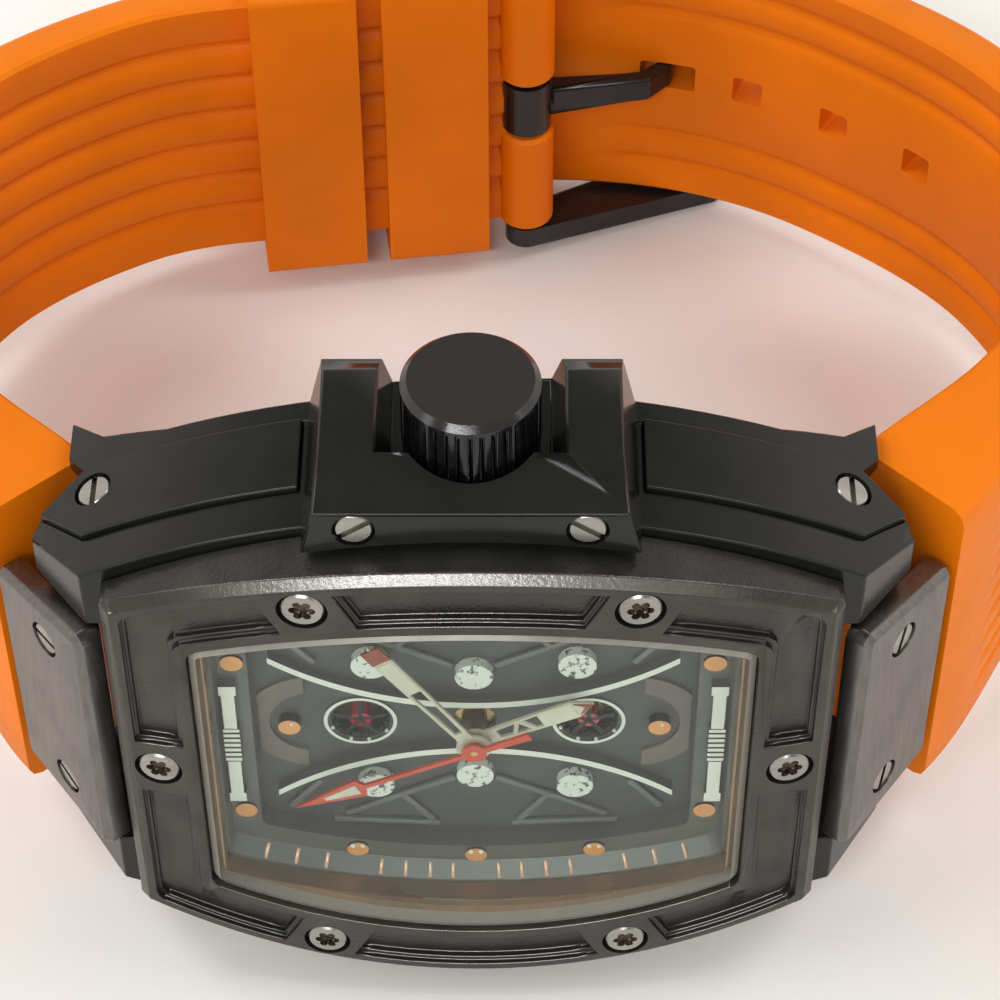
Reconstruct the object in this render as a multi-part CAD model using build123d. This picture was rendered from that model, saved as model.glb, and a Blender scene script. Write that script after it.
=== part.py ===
from build123d import *
import math
import os

# A tonneau wristwatch lying on its nine o'clock side, strap closed into a loop.
# It is modelled in a dial frame: x from twelve to six, y from nine to three where the crown is,
# z towards the viewer with zero at the crest of the bezel. A depth is a distance behind that crest.
# At the end every piece is turned and lowered into the resting pose, millimetres, Z up.

overrun = 30.0
running_clearance = 0.05
soft_gap = 0.25
seat_gap = 0.02

case_half_width = 19.3
bezel_step = 0.45
bezel_half_length = 20.55
bezel_half_width = case_half_width - bezel_step
bow_radius = 45.55
arch_radius = 100.0
bezel_ring = 4.65
bezel_corner = 0.8
bezel_depth = 4.0
bezel_edge_bevel = 0.55

case_bow_radius = 50.0
case_joint_gap = 0.1
case_front_depth = bezel_depth + case_joint_gap
case_back_depth = 12.0
case_end_inset = 0.35
case_wall_x = bezel_half_length - case_end_inset
cavity_inset_x = 3.95
cavity_half_length = bezel_half_length - cavity_inset_x
case_wall_thickness = 3.9
cavity_half_width = case_half_width - case_wall_thickness
back_rim_height = 1.6
back_rim_depth = case_back_depth + back_rim_height

lug_slope = 51.0
strap_slot_half = 10.2
crown_depth = 8.1
dial_depth = 5.3
strap_half_width_case = 12.4
strap_half_width_back = 11.0
strap_back_thickness = 3.2
back_stretch_slope = 8.0


def side(x, depth):
    """A point of the side view, which lies in the plane of x and depth."""
    return (x, -depth)


def prism(face, y_from, y_to):
    """A side view face drawn out along y."""
    return Pos(0, y_to, 0) * extrude(Plane.XZ * face, amount=y_to - y_from)


def outline_prism(points, y_from, y_to):
    """A closed side view outline of straight runs drawn out along y."""
    ends = [side(x, depth) for x, depth in points]
    return prism(make_face(Polyline(*ends, close=True)), y_from, y_to)


def slab(face, depth_from, depth_to):
    """A front view face drawn out between two depths."""
    return Pos(0, 0, -depth_to) * extrude(face, amount=depth_to - depth_from, dir=(0, 0, 1))


def disc(x, y, radius, depth_from, depth_to):
    """A round piece facing the viewer."""
    return slab(Pos(x, y) * Circle(radius), depth_from, depth_to)


def ring(x, y, outer, inner, depth_from, depth_to):
    """A flat ring facing the viewer."""
    return slab(Pos(x, y) * (Circle(outer) - Circle(inner)), depth_from, depth_to)


def tonneau(half_length, half_width, bow, corner):
    """The front outline: two bowed long sides and two straight ends."""
    corner_y = half_width - bow + math.sqrt(bow ** 2 - half_length ** 2)
    upper = ThreePointArc((-half_length, corner_y), (0, half_width), (half_length, corner_y))
    lower = ThreePointArc((half_length, -corner_y), (0, -half_width), (-half_length, -corner_y))
    right = Line((half_length, corner_y), (half_length, -corner_y))
    left = Line((-half_length, -corner_y), (-half_length, corner_y))
    face = make_face([upper, right, lower, left])
    return fillet(face.vertices(), corner)


def inset_outline(inset, corner):
    """The bezel outline drawn in by one distance all round."""
    return tonneau(bezel_half_length - inset, bezel_half_width - inset, bow_radius - inset, corner)


def arch_drop(x):
    """How far the bezel face lies behind its crest at x."""
    return arch_radius - math.sqrt(arch_radius ** 2 - x ** 2)


def under_arch(depth):
    """Everything behind the bezel face moved back by a depth."""
    return Pos(0, 0, -arch_radius) * Rot(90, 0, 0) * Cylinder(arch_radius - depth, 4 * bezel_half_width)


def on_arch(x, y, depth):
    """A place on the bezel face, square to it, sunk by a depth."""
    tilt = math.degrees(math.asin(x / arch_radius))
    return Pos(x, y, -arch_drop(x)) * Rot(0, tilt, 0) * Pos(0, 0, -depth)


def mirrored(shape):
    """The copy of a shape on the other side of the nine to three line."""
    return mirror(shape, about=Plane.YZ)


def group(shapes):
    """Separate solids that share one node."""
    solids = []
    for shape in shapes:
        solids += list(shape.solids())
    return Compound(children=solids)


# Bezel, its six screws, the crystal and the two seals
screw_pitch_x = 9.15
screw_inset_y = 3.1
screw_pitch_y = bezel_half_width - screw_inset_y
end_screw_inset = 2.25
bezel_end_screw_x = bezel_half_length - end_screw_inset
bezel_screw_radius = 1.22
bezel_screw_head = 0.8
bezel_screw_sink = 0.12
bezel_screw_shank_radius = 0.55
bezel_screw_length = 5.0
counterbore_radius = 1.42
counterbore_depth = 0.85
screw_lobe_radius = 0.24
screw_lobe_circle = 0.5
screw_recess_depth = 0.45
screw_lobes = 6
pocket_inset_outer = 1.1
pocket_inset_inner = 3.9
pocket_depth = 0.75
pocket_step_depth = 0.35
pocket_ledge = 0.28
pocket_gap_corner = 2.35
pocket_gap_side = 2.3
pocket_slant = 0.5
crystal_gap = 0.08
crystal_thickness = 1.3
crystal_sink = 0.1
crystal_bevel = 0.45
crystal_corner = 0.9
crystal_shelf = 0.7
gasket_height = 0.4
gasket_width = 0.4


def screw_places():
    """The six bezel screw centres."""
    corners = [(sx * screw_pitch_x, sy * screw_pitch_y) for sx in (-1, 1) for sy in (-1, 1)]
    return corners + [(-bezel_end_screw_x, 0), (bezel_end_screw_x, 0)]


def pocket_faces(ledge):
    """Front view areas of the two long pockets and the four corner pockets, drawn in by a ledge."""
    band = inset_outline(pocket_inset_outer + ledge, bezel_corner)
    band = band - inset_outline(pocket_inset_inner - ledge, crystal_corner)
    half = pocket_gap_corner + ledge
    lean = pocket_slant * bezel_ring
    for sx in (-1, 1):
        inner = [sx * (screw_pitch_x - lean + step) for step in (-half, half)]
        outer = [sx * (screw_pitch_x + lean + step) for step in (half, -half)]
        for sy in (-1, 1):
            low = sy * (screw_pitch_y - bezel_ring)
            high = sy * (screw_pitch_y + bezel_ring)
            corners = [(x, low) for x in inner] + [(x, high) for x in outer]
            band = band - make_face(Polyline(*corners, close=True))
        land = Rectangle(2 * bezel_ring, 2 * (pocket_gap_side + ledge))
        band = band - Pos(sx * bezel_half_length, 0) * land
    return band


def make_bezel():
    body = slab(inset_outline(0, bezel_corner), 0, bezel_depth) & under_arch(0)
    lowest = -arch_drop(bezel_half_length) - seat_gap
    top = [edge for edge in body.edges() if edge.center().Z > lowest]
    body = chamfer(top, bezel_edge_bevel)
    body -= slab(inset_outline(bezel_ring, crystal_corner), -overrun, overrun)
    under_crystal = crystal_sink + crystal_thickness + gasket_height
    ledge = slab(inset_outline(bezel_ring + crystal_shelf, crystal_corner), -overrun, overrun)
    lip = slab(inset_outline(bezel_ring - seat_gap, crystal_corner), 0, bezel_depth) - ledge
    body += lip & under_arch(under_crystal)
    for ledge_width, depth in ((0, pocket_step_depth), (pocket_ledge, pocket_depth)):
        body -= slab(pocket_faces(ledge_width), -overrun, bezel_depth) - under_arch(depth)
    for x, y in screw_places():
        bore = Pos(0, 0, overrun / 2) * Cylinder(counterbore_radius, overrun)
        body -= on_arch(x, y, counterbore_depth) * bore
        body -= on_arch(x, y, 0) * Cylinder(bezel_screw_shank_radius + seat_gap, 2 * overrun)
    return body


def lobed_recess(depth):
    """The six lobed socket of a screw head, sunk from its top plane."""
    tool = Cylinder(screw_lobe_circle, 2 * depth)
    for i in range(screw_lobes):
        lobe = Pos(screw_lobe_circle, 0) * Cylinder(screw_lobe_radius, 2 * depth)
        tool += Rot(0, 0, 360 / screw_lobes * i) * lobe
    return tool


def make_bezel_screws():
    screws = []
    for x, y in screw_places():
        head = Pos(0, 0, -bezel_screw_head / 2) * Cylinder(bezel_screw_radius, bezel_screw_head)
        rim = head.edges().filter_by(GeomType.CIRCLE).sort_by(Axis.Z)[-1]
        head = chamfer(rim, bezel_screw_sink)
        shank = Cylinder(bezel_screw_shank_radius, bezel_screw_length)
        screw = head + Pos(0, 0, -bezel_screw_head - bezel_screw_length / 2) * shank
        screw = screw - lobed_recess(screw_recess_depth)
        screws.append(on_arch(x, y, counterbore_depth - bezel_screw_head - seat_gap) * screw)
    return group(screws)


def make_crystal():
    inset = bezel_ring + crystal_gap
    body = slab(inset_outline(inset, crystal_corner), 0, bezel_depth) & under_arch(crystal_sink)
    body -= under_arch(crystal_sink + crystal_thickness)
    lowest = -crystal_sink - arch_drop(bezel_half_length - inset) - seat_gap
    rim = [edge for edge in body.edges() if edge.center().Z > lowest]
    return chamfer(rim, crystal_bevel)


def make_crystal_gasket():
    outer = inset_outline(bezel_ring + crystal_gap, crystal_corner)
    inner = inset_outline(bezel_ring + crystal_shelf, crystal_corner)
    depth = crystal_sink + crystal_thickness
    band = slab(outer, 0, bezel_depth) - slab(inner, -overrun, overrun)
    return (band & under_arch(depth)) - under_arch(depth + gasket_height)


def cavity_outline(grow):
    """Front view of the hollow in the case, grown by one distance all round."""
    corner = bezel_corner + grow
    return tonneau(cavity_half_length + grow, cavity_half_width + grow, bow_radius + grow, corner)


def make_bezel_gasket():
    return slab(cavity_outline(gasket_width) - cavity_outline(0), bezel_depth, case_front_depth)


# Case middle, ears, back cover and its screws
ear_step = 1.15
ear_front_x = bezel_half_length + ear_step
ear_reach = 3.2
ear_tip_x = ear_front_x + ear_reach
ear_tip_depth = 8.2
ear_knee_inset = 0.4
ear_knee_x = ear_tip_x - ear_knee_inset
ear_knee_depth = 9.6
ear_back_step = 0.3
ear_back_x = ear_front_x + ear_back_step
side_plate_recess = 0.8
side_plate_front = 6.8
back_dome = 0.9
back_dome_bevel = 0.5
back_horn_height = 2.8
back_horn_depth = back_rim_depth + back_horn_height
back_horn_reach = 1.2
back_horn_x = ear_back_x + back_horn_reach
back_horn_root_inset = 0.8
back_horn_root_x = ear_back_x - back_horn_root_inset
back_ramp_inset = 4.6
back_ramp_x = ear_back_x - back_ramp_inset
back_slot_play = 0.3
back_slot_half = strap_half_width_case + back_slot_play
back_screw_inset_x = 2.0
back_screw_x = cavity_half_length - back_screw_inset_x
back_screw_inset_y = 4.4
back_screw_y = case_half_width - back_screw_inset_y
back_screw_mid_x = 6.0
back_screw_mid_inset = 2.3
back_screw_mid_y = case_half_width - back_screw_mid_inset
back_screw_radius = 0.95
back_screw_head = 0.6
back_screw_sink = 0.1
back_screw_shank = 0.5
back_screw_length = 2.4
back_groove_margin = 0.6
back_dome_margin_x = 0.6
back_dome_half_length = cavity_half_length + back_dome_margin_x
back_dome_inset_y = 5.9
back_dome_half_width = case_half_width - back_dome_inset_y
back_seat_depth = back_rim_depth - back_screw_head - back_screw_sink
slot_width = 0.36
slot_depth = 0.35


def case_outline(half_width):
    """Front view of the case side walls, bowed like the bezel but flatter."""
    bow = case_bow_radius - (case_half_width - half_width)
    return tonneau(ear_tip_x + soft_gap, half_width, bow, soft_gap)


def ear_profile(grow):
    """Side view of the case middle with its sloped ends."""
    right = [(ear_front_x + grow, case_front_depth), (ear_tip_x + grow, ear_tip_depth),
             (ear_knee_x + grow, ear_knee_depth), (ear_back_x + grow, case_back_depth)]
    return right + [(-x, depth) for x, depth in reversed(right)]


def side_plate_profile(clear):
    """Side view of the plates let into the case wall, with a pointed outer end."""
    front = side_plate_front - clear
    return [(side_plate_inner_x - clear, front), (ear_front_x - clear / 2, front),
            (ear_knee_x + clear, ear_knee_depth), (ear_back_x + clear, case_back_depth + clear),
            (side_plate_inner_x - clear, case_back_depth + clear)]


def side_band(depth_in, proud):
    """A layer along the case side, from a depth in the wall to a height over it."""
    outer = slab(case_outline(case_half_width + proud), 0, overrun)
    return outer - slab(case_outline(case_half_width - depth_in), -overrun, 2 * overrun)


def side_plate_blocks(clear):
    """Three blocks: right and left of the crown, and the long one on the nine o'clock side."""
    right = outline_prism(side_plate_profile(clear), 0, overrun)
    half = side_plate_profile(clear)[1:4]
    long_outline = half + [(-x, depth) for x, depth in reversed(half)]
    return [mirrored(right), right, outline_prism(long_outline, -overrun, 0)]


def make_case_middle():
    body = outline_prism(ear_profile(0), -overrun, overrun)
    body = body & slab(case_outline(case_half_width), 0, overrun)
    body -= slab(cavity_outline(0), 0, overrun)
    for sx in (-1, 1):
        slot = Box(overrun, 2 * strap_slot_half, overrun)
        body -= Pos(sx * (case_wall_x + overrun / 2), 0, -overrun / 2) * slot
    band = side_band(side_plate_recess, overrun / 10)
    for block in side_plate_blocks(seat_gap):
        body -= band & block
    reach = 2 * (bezel_screw_length + 2 * bezel_screw_head)
    for x, y in screw_places():
        body -= on_arch(x, y, 0) * Cylinder(bezel_screw_shank_radius + seat_gap, reach)
    tube_bore = Rot(90, 0, 0) * Cylinder(crown_tube_radius + seat_gap, overrun)
    body -= Pos(0, cavity_half_width + overrun / 2 - soft_gap, -crown_depth) * tube_bore
    for place in side_screw_places():
        body -= place * Cylinder(slotted_shank + seat_gap, 2 * (slotted_head + 2 * slotted_length))
    for sx in (-1, 1):
        bar = Rot(90, 0, 0) * Cylinder(strap_bar_radius + seat_gap, 2 * strap_bar_half)
        body -= Pos(sx * strap_bar_x, 0, -strap_bar_depth) * bar
    for x, y in back_screw_places():
        hole_top = case_back_depth - back_screw_length
        body -= disc(x, y, back_screw_shank + seat_gap, hole_top, case_back_depth + overrun)
    return body


def back_screw_places():
    """Eight screws round the back cover."""
    corners = [(sx * back_screw_x, sy * back_screw_y) for sx in (-1, 1) for sy in (-1, 1)]
    return corners + [(sx * back_screw_mid_x, sy * back_screw_mid_y) for sx in (-1, 1) for sy in (-1, 1)]


# Side plates, end plates, crown guard and their slotted screws
side_plate_proud = 0.35
side_screw_step = 0.3
side_screw_x = ear_front_x - side_screw_step
side_screw_inset = 1.9
side_screw_depth = case_back_depth - side_screw_inset
slotted_radius = 1.05
slotted_head = 0.7
slotted_shank = 0.5
slotted_length = 2.2
slotted_sink = 0.1
slotted_clearance = 0.12
guard_half_length = 9.3
guard_side_gap = 0.2
side_plate_inner_x = guard_half_length + guard_side_gap
guard_top_half = 8.2
guard_foot_inset = 1.2
guard_foot_y = case_half_width - guard_foot_inset
guard_foot_rise = 0.15
guard_front_depth = 2.1
guard_ridge_rise = 2.3
guard_ridge_y = case_half_width + guard_ridge_rise
guard_ridge_depth = 2.2
guard_top_rise = 3.6
guard_top_y = case_half_width + guard_top_rise
guard_top_depth = 5.5
guard_back_overhang = 1.0
guard_back_depth = case_back_depth + guard_back_overhang
guard_floor_rise = 1.4
guard_floor_y = case_half_width + guard_floor_rise
guard_gap_half = 4.35
guard_gap_flare = 0.8
guard_back_run = 1.4
guard_back_fall = 0.45
guard_screw_x = 6.25
guard_screw_rise = 1.05
guard_screw_y = case_half_width + guard_screw_rise
guard_screw_turn = 35
end_plate_step = 0.5
end_plate_inner_x = ear_front_x + end_plate_step
end_plate_rise = 1.1
end_plate_inner_depth = case_front_depth - end_plate_rise
end_plate_length = 8.7
end_plate_thickness = 1.6
end_plate_inner_half = 9.95
end_plate_outer_half = 8.6
end_plate_edge_bevel = 0.4
end_plate_corner = 0.7
end_plate_screw_along = 3.9
end_plate_screw_half = 6.5
end_plate_slot_turns = (80, 75, 25, 0)


def plate_place(along, across, depth):
    """A place on the right hand end plate's face, square to it, sunk by a depth."""
    slope = math.radians(lug_slope)
    x = end_plate_inner_x + along * math.cos(slope)
    z = -end_plate_inner_depth - along * math.sin(slope)
    return Pos(x, across, z) * Rot(0, lug_slope, 0) * Pos(0, 0, -depth)


def side_wall_y(x):
    """Half width of the side plates' outer faces at x."""
    half = case_half_width + side_plate_proud
    bow = case_bow_radius + side_plate_proud
    return half - bow + math.sqrt(bow ** 2 - x ** 2)


def recess_wall_y(x):
    """Half width of the recesses' floors at x, behind the side plates."""
    half = case_half_width - side_plate_recess
    bow = case_bow_radius - side_plate_recess
    return half - bow + math.sqrt(bow ** 2 - x ** 2)


def side_wall_turn(x):
    """How far the side wall has turned at x, in degrees."""
    return math.degrees(math.asin(x / (case_bow_radius + side_plate_proud)))


def side_screw_places():
    """Places square to the side plates: two beside the crown and two on the nine o'clock side."""
    places = []
    for sx in (-1, 1):
        x = sx * side_screw_x
        for sy in (-1, 1):
            place = Pos(x, sy * side_wall_y(x), -side_screw_depth)
            places.append(place * Rot(-90 * sy, 0, 0) * Rot(0, sx * abs(side_wall_turn(x)), 0))
    return places


def slotted_screw(length):
    """A slotted screw with its head's top at zero, pointing down."""
    head = Pos(0, 0, -slotted_head / 2) * Cylinder(slotted_radius, slotted_head)
    rim = head.edges().filter_by(GeomType.CIRCLE).sort_by(Axis.Z)[-1]
    head = chamfer(rim, slotted_sink)
    shank = Pos(0, 0, -slotted_head - length / 2) * Cylinder(slotted_shank, length)
    slot = Box(3 * slotted_radius, slot_width, 2 * slot_depth)
    return head + shank - slot


def screw_seat():
    """The counterbore and hole that take a slotted screw."""
    bore = Cylinder(slotted_radius + slotted_clearance, overrun)
    bore = Pos(0, 0, -slotted_head - seat_gap + overrun / 2) * bore
    return bore + Cylinder(slotted_shank + seat_gap, 4 * slotted_length)


def make_side_plates():
    """The three side plates: two beside the crown and a long one on the nine o'clock side."""
    band = side_band(side_plate_recess - seat_gap, side_plate_proud)
    plates = []
    for block in side_plate_blocks(0):
        plate = block & band
        for place in side_screw_places():
            plate -= place * Pos(0, 0, -slotted_sink) * screw_seat()
        plates.append(plate)
    return plates


def make_side_plate_screws():
    screw = Pos(0, 0, -slotted_sink) * Rot(0, 0, 90) * slotted_screw(slotted_length)
    return group([place * screw for place in side_screw_places()])


def end_screw_places():
    """Places of the two screws in the right hand end plate."""
    sides = (-1, 1)
    return [plate_place(end_plate_screw_along, sy * end_plate_screw_half, slotted_sink) for sy in sides]


def make_end_plate():
    corners = [(0, end_plate_inner_half), (end_plate_length, end_plate_outer_half),
               (end_plate_length, -end_plate_outer_half), (0, -end_plate_inner_half)]
    face = make_face(Polyline(*corners, close=True))
    face = fillet(face.vertices(), end_plate_corner)
    plate = slab(face, 0, end_plate_thickness)
    top = plate.edges().group_by(Axis.Z)[-1]
    plate = plate_place(0, 0, 0) * chamfer(top, end_plate_edge_bevel)
    for place in end_screw_places():
        plate -= place * screw_seat()
    return plate


def end_plate_screws():
    """The four screws of the end plates, each slot turned its own way."""
    places = 2 * end_screw_places()
    screws = [place * Rot(0, 0, turn) * slotted_screw(slotted_length)
              for place, turn in zip(places, end_plate_slot_turns)]
    return screws[:2] + [mirrored(screw) for screw in screws[2:]]


def guard_screw_place(sx):
    """A place on the guard's front face."""
    lean = math.atan2(guard_ridge_depth - guard_front_depth, guard_ridge_y - guard_foot_y)
    depth = guard_front_depth + (guard_screw_y - guard_foot_y) * math.tan(lean)
    turn = Rot(-math.degrees(lean), 0, 0)
    return Pos(sx * guard_screw_x, guard_screw_y, -depth) * turn * Pos(0, 0, -slotted_sink)


def make_crown_guard():
    section = [(guard_foot_y, guard_front_depth), (guard_ridge_y, guard_ridge_depth),
               (guard_top_y, guard_top_depth), (guard_top_y, guard_back_depth - guard_back_run),
               (guard_top_y - guard_back_fall, guard_back_depth), (guard_foot_y, guard_back_depth)]
    face = make_face(Polyline(*[(y, -depth) for y, depth in section], close=True))
    body = extrude(Plane.YZ * face, amount=guard_half_length, both=True)
    sides = [(guard_half_length, guard_foot_y), (guard_top_half, guard_top_y)]
    sides += [(-x, y) for x, y in reversed(sides)]
    body = body & slab(make_face(Polyline(*sides, close=True)), 0, overrun)
    gap = [(guard_gap_half, guard_floor_y), (guard_gap_half + guard_gap_flare, guard_top_y)]
    gap += [(-x, y) for x, y in reversed(gap)]
    body -= slab(make_face(Polyline(*gap, close=True)), guard_top_depth, overrun)
    pocket = extrude(Circle(crown_radius + crown_gap), amount=overrun)
    body -= along_crown(pocket, guard_floor_y)
    body -= along_crown(extrude(Circle(crown_tube_radius + seat_gap), amount=overrun), 0)
    body -= slab(case_outline(case_half_width + seat_gap), case_front_depth - seat_gap, overrun)
    body -= slab(case_outline(case_half_width + guard_foot_rise), -overrun, case_front_depth)
    for sx in (-1, 1):
        body -= guard_screw_place(sx) * screw_seat()
    return body


def make_crown_guard_screws():
    screws = []
    for sx in (-1, 1):
        turn = Rot(0, 0, -guard_screw_turn * sx)
        screws.append(guard_screw_place(sx) * turn * slotted_screw(slotted_length))
    return group(screws)


# Back cover with its four horns
def back_groove(clear):
    """The seal groove round the case hollow, narrowed by a clearance on each side."""
    outer = cavity_outline(back_groove_margin + gasket_width - clear)
    return outer - cavity_outline(back_groove_margin + clear)


def make_case_back():
    face_depth = case_back_depth + seat_gap
    right = [(ear_back_x, face_depth), (back_horn_x, back_rim_depth), (back_horn_x, back_horn_depth),
             (back_horn_root_x, back_rim_depth + back_dome), (back_ramp_x, back_rim_depth)]
    left = [(-x, depth) for x, depth in reversed(right)]
    body = outline_prism(right + left, -overrun, overrun)
    body = body & slab(case_outline(case_half_width), 0, overrun)
    outline = tonneau(back_dome_half_length, back_dome_half_width, bow_radius, bezel_corner)
    dome = slab(outline, face_depth, back_rim_depth + back_dome)
    edge = dome.edges().group_by(Axis.Z)[0]
    body += chamfer(edge, back_dome_bevel)
    for sx in (-1, 1):
        slot = Box(overrun, 2 * back_slot_half, overrun)
        body -= Pos(sx * (case_wall_x + overrun / 2), 0, -back_rim_depth) * slot
    for x, y in back_screw_places():
        body -= disc(x, y, back_screw_radius + slotted_clearance, back_seat_depth - seat_gap, overrun)
        body -= disc(x, y, back_screw_shank + seat_gap, 0, overrun)
    return body - slab(back_groove(0), case_back_depth, case_back_depth + gasket_height)


def make_case_back_gasket():
    return slab(back_groove(seat_gap), case_back_depth, case_back_depth + gasket_height - seat_gap)


def make_case_back_screws():
    screws = []
    top = back_seat_depth + back_screw_head
    tip = case_back_depth - back_screw_length + seat_gap
    for x, y in back_screw_places():
        head = disc(x, y, back_screw_radius, back_seat_depth, top)
        shank = disc(x, y, back_screw_shank, tip, back_seat_depth)
        slot = slab(Pos(x, y) * Rectangle(3 * back_screw_radius, slot_width), top - slot_depth, overrun)
        screws.append(head + shank - slot)
    return group(screws)


# Crown, its tube, stem and seal
crown_radius = 3.8
crown_gap = 0.45
crown_foot_rise = 1.8
crown_foot_y = case_half_width + crown_foot_rise
crown_height = 4.8
crown_rim_bevel = 0.35
crown_flutes = 36
crown_flute_depth = 0.09
crown_flute_margin = 0.7
crown_bore_radius = 1.6
crown_bore_depth = 2.4
crown_tube_radius = 1.3
crown_tube_bore = 0.62
crown_tube_reach = 1.6
crown_tube_end = crown_foot_y + crown_tube_reach
crown_stem_radius = 0.5
crown_stem_inner_y = 8.8
crown_stem_neck = 0.9
crown_stem_neck_radius = 0.3
crown_seal_height = 0.25


def along_crown(shape, y_from):
    """A shape drawn up from zero, laid along the crown's axis with its foot at y_from."""
    return Pos(0, y_from, -crown_depth) * Rot(-90, 0, 0) * shape


def tube(outer, inner, length):
    """A round tube standing on zero."""
    return extrude(Circle(outer) - Circle(inner), amount=length)


def make_crown():
    body = extrude(Circle(crown_radius), amount=crown_height)
    rims = body.edges().filter_by(GeomType.CIRCLE)
    body = chamfer(rims, crown_rim_bevel)
    flute_length = crown_height - 2 * crown_flute_margin
    flute = Box(2 * crown_flute_depth, 2 * crown_flute_depth, flute_length)
    flute = Pos(crown_radius, 0, crown_flute_margin + flute_length / 2) * flute
    for i in range(crown_flutes):
        body -= Rot(0, 0, 360 / crown_flutes * i) * flute
    body -= extrude(Circle(crown_bore_radius), amount=crown_bore_depth)
    stem_hole = Circle(crown_stem_radius + running_clearance)
    body -= extrude(stem_hole, amount=crown_bore_depth + crown_stem_neck + seat_gap)
    return along_crown(body, crown_foot_y)


def make_crown_tube():
    length = crown_tube_end - cavity_half_width
    return along_crown(tube(crown_tube_radius, crown_tube_bore, length), cavity_half_width)


def make_setting_stem():
    length = crown_foot_y + crown_bore_depth + crown_stem_neck - crown_stem_inner_y
    body = extrude(Circle(crown_stem_radius), amount=length)
    neck = tube(2 * crown_stem_radius, crown_stem_neck_radius, crown_stem_neck)
    return along_crown(body - Pos(0, 0, crown_stem_neck) * neck, crown_stem_inner_y)


def make_crown_gasket():
    outer = crown_bore_radius - running_clearance
    band = tube(outer, crown_tube_radius + running_clearance, crown_seal_height)
    return along_crown(band, crown_tube_end - 2 * crown_seal_height)


# Dial side: rehaut, dial plate and its raised pieces
rehaut_top_depth = 3.1
rehaut_inset = 5.7
rehaut_half_length = bezel_half_length - rehaut_inset
rehaut_half_width = bezel_half_width - rehaut_inset
rehaut_foot_inset_x = 5.95
rehaut_foot_length = bezel_half_length - rehaut_foot_inset_x
rehaut_foot_inset_y = 6.55
rehaut_foot_width = bezel_half_width - rehaut_foot_inset_y
shelf_rise = 1.3
shelf_depth = dial_depth - shelf_rise
shelf_inset_x = 7.65
shelf_half_length = bezel_half_length - shelf_inset_x
shelf_inset_y = 8.0
shelf_half_width = bezel_half_width - shelf_inset_y
dial_thickness = 0.4
chapter_gap = 0.1
hand_hole_radius = 1.3
arc_end_gap = 1.1
arc_half_length = shelf_half_length - arc_end_gap
arc_crest_y = 1.9
arc_rise = 4.15
arc_end_y = arc_crest_y + arc_rise
arc_width = 0.5
arc_height = 0.65
ring_x = 6.7
ring_radius = 2.05
ring_width = 0.22
ring_height = 0.12
ring_well_radius = 1.75
jewel_radius = 0.62
speck_radius = 1.1
speck_side_x = 5.95
speck_side_y = 5.7
speck_mid_y = 4.7
speck_height = 0.6
strut_step = 1.2
strut_x = shelf_half_length + strut_step
strut_half_length = 5.05
strut_width = 0.75
strut_head_width = 1.0
strut_head_length = 0.8
strut_height = 0.6
strut_core_width = 0.4
strut_core_height = 0.3
strut_coil_radius = 0.48
strut_coil_pitch = 0.45
strut_coil_width = 0.28
strut_coils = 7
crescent_x = 9.3
crescent_outer = 4.2
crescent_inner = 2.75
crescent_open_x = 9.9
crescent_height = 0.2
marker_radius = 0.66
marker_height = 0.6
marker_x = 10.85
marker_corner_step = 0.85
marker_corner_x = shelf_half_length + marker_corner_step
marker_corner_gap = 1.95
marker_corner_y = strut_half_length + marker_corner_gap
marker_row_x = 7.2
marker_row_step = 0.15
marker_row_y = shelf_half_width + marker_row_step
marker_mid_step = 0.75
marker_mid_y = shelf_half_width + marker_mid_step
marker_proud = 0.15


def opening_outline(inset):
    """The bezel's inner lip drawn in by one distance."""
    return inset_outline(bezel_ring + crystal_shelf + inset, crystal_corner)


def dial_outline(half_length, half_width):
    """A dial side outline that is bowed in step with the bezel."""
    return tonneau(half_length, half_width, bow_radius + half_width - bezel_half_width, crystal_corner)


def make_chapter_ring():
    foot = dial_outline(rehaut_foot_length, rehaut_foot_width)
    top = dial_outline(rehaut_half_length, rehaut_half_width)
    body = slab(opening_outline(chapter_gap), rehaut_top_depth, dial_depth)
    body -= loft([Pos(0, 0, -shelf_depth) * foot, Pos(0, 0, -rehaut_top_depth) * top])
    body -= slab(dial_outline(shelf_half_length, shelf_half_width), 0, overrun)
    for x, y in edge_marker_places():
        body -= disc(x, y, marker_radius + seat_gap, 0, overrun)
    return body


def make_dial_plate():
    body = slab(cavity_outline(-soft_gap), dial_depth, dial_depth + dial_thickness)
    body -= disc(0, 0, hand_hole_radius, 0, overrun)
    for sx in (-1, 1):
        body -= disc(sx * ring_x, 0, ring_well_radius, 0, overrun)
    return body


def bowed_bar(sign):
    """One of the two light arcs that bow towards the hands."""
    crest = arc_crest_y * sign
    end = arc_end_y * sign
    top = arc_width * sign
    lower = ThreePointArc((-arc_half_length, end), (0, crest), (arc_half_length, end))
    upper = ThreePointArc((arc_half_length, end + top), (0, crest + top), (-arc_half_length, end + top))
    return make_face([lower, Line((arc_half_length, end), (arc_half_length, end + top)), upper,
                      Line((-arc_half_length, end + top), (-arc_half_length, end))])


def raised(face, height):
    """A raised piece standing on the dial plate."""
    return slab(face, dial_depth - height, dial_depth)


def make_dial_arcs():
    return group([raised(bowed_bar(sign), arc_height) for sign in (-1, 1)])


def make_dial_rings():
    rings = []
    for sx in (-1, 1):
        face = Circle(ring_radius + ring_width / 2) - Circle(ring_radius - ring_width / 2)
        rings.append(raised(Pos(sx * ring_x, 0) * face, ring_height))
    return group(rings)


def make_dial_jewels():
    jewels = []
    for sx in (-1, 1):
        foot = main_plate_depth + jewel_seat - seat_gap
        jewels.append(disc(sx * ring_x, 0, jewel_radius, dial_depth, foot))
    return group(jewels)


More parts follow.
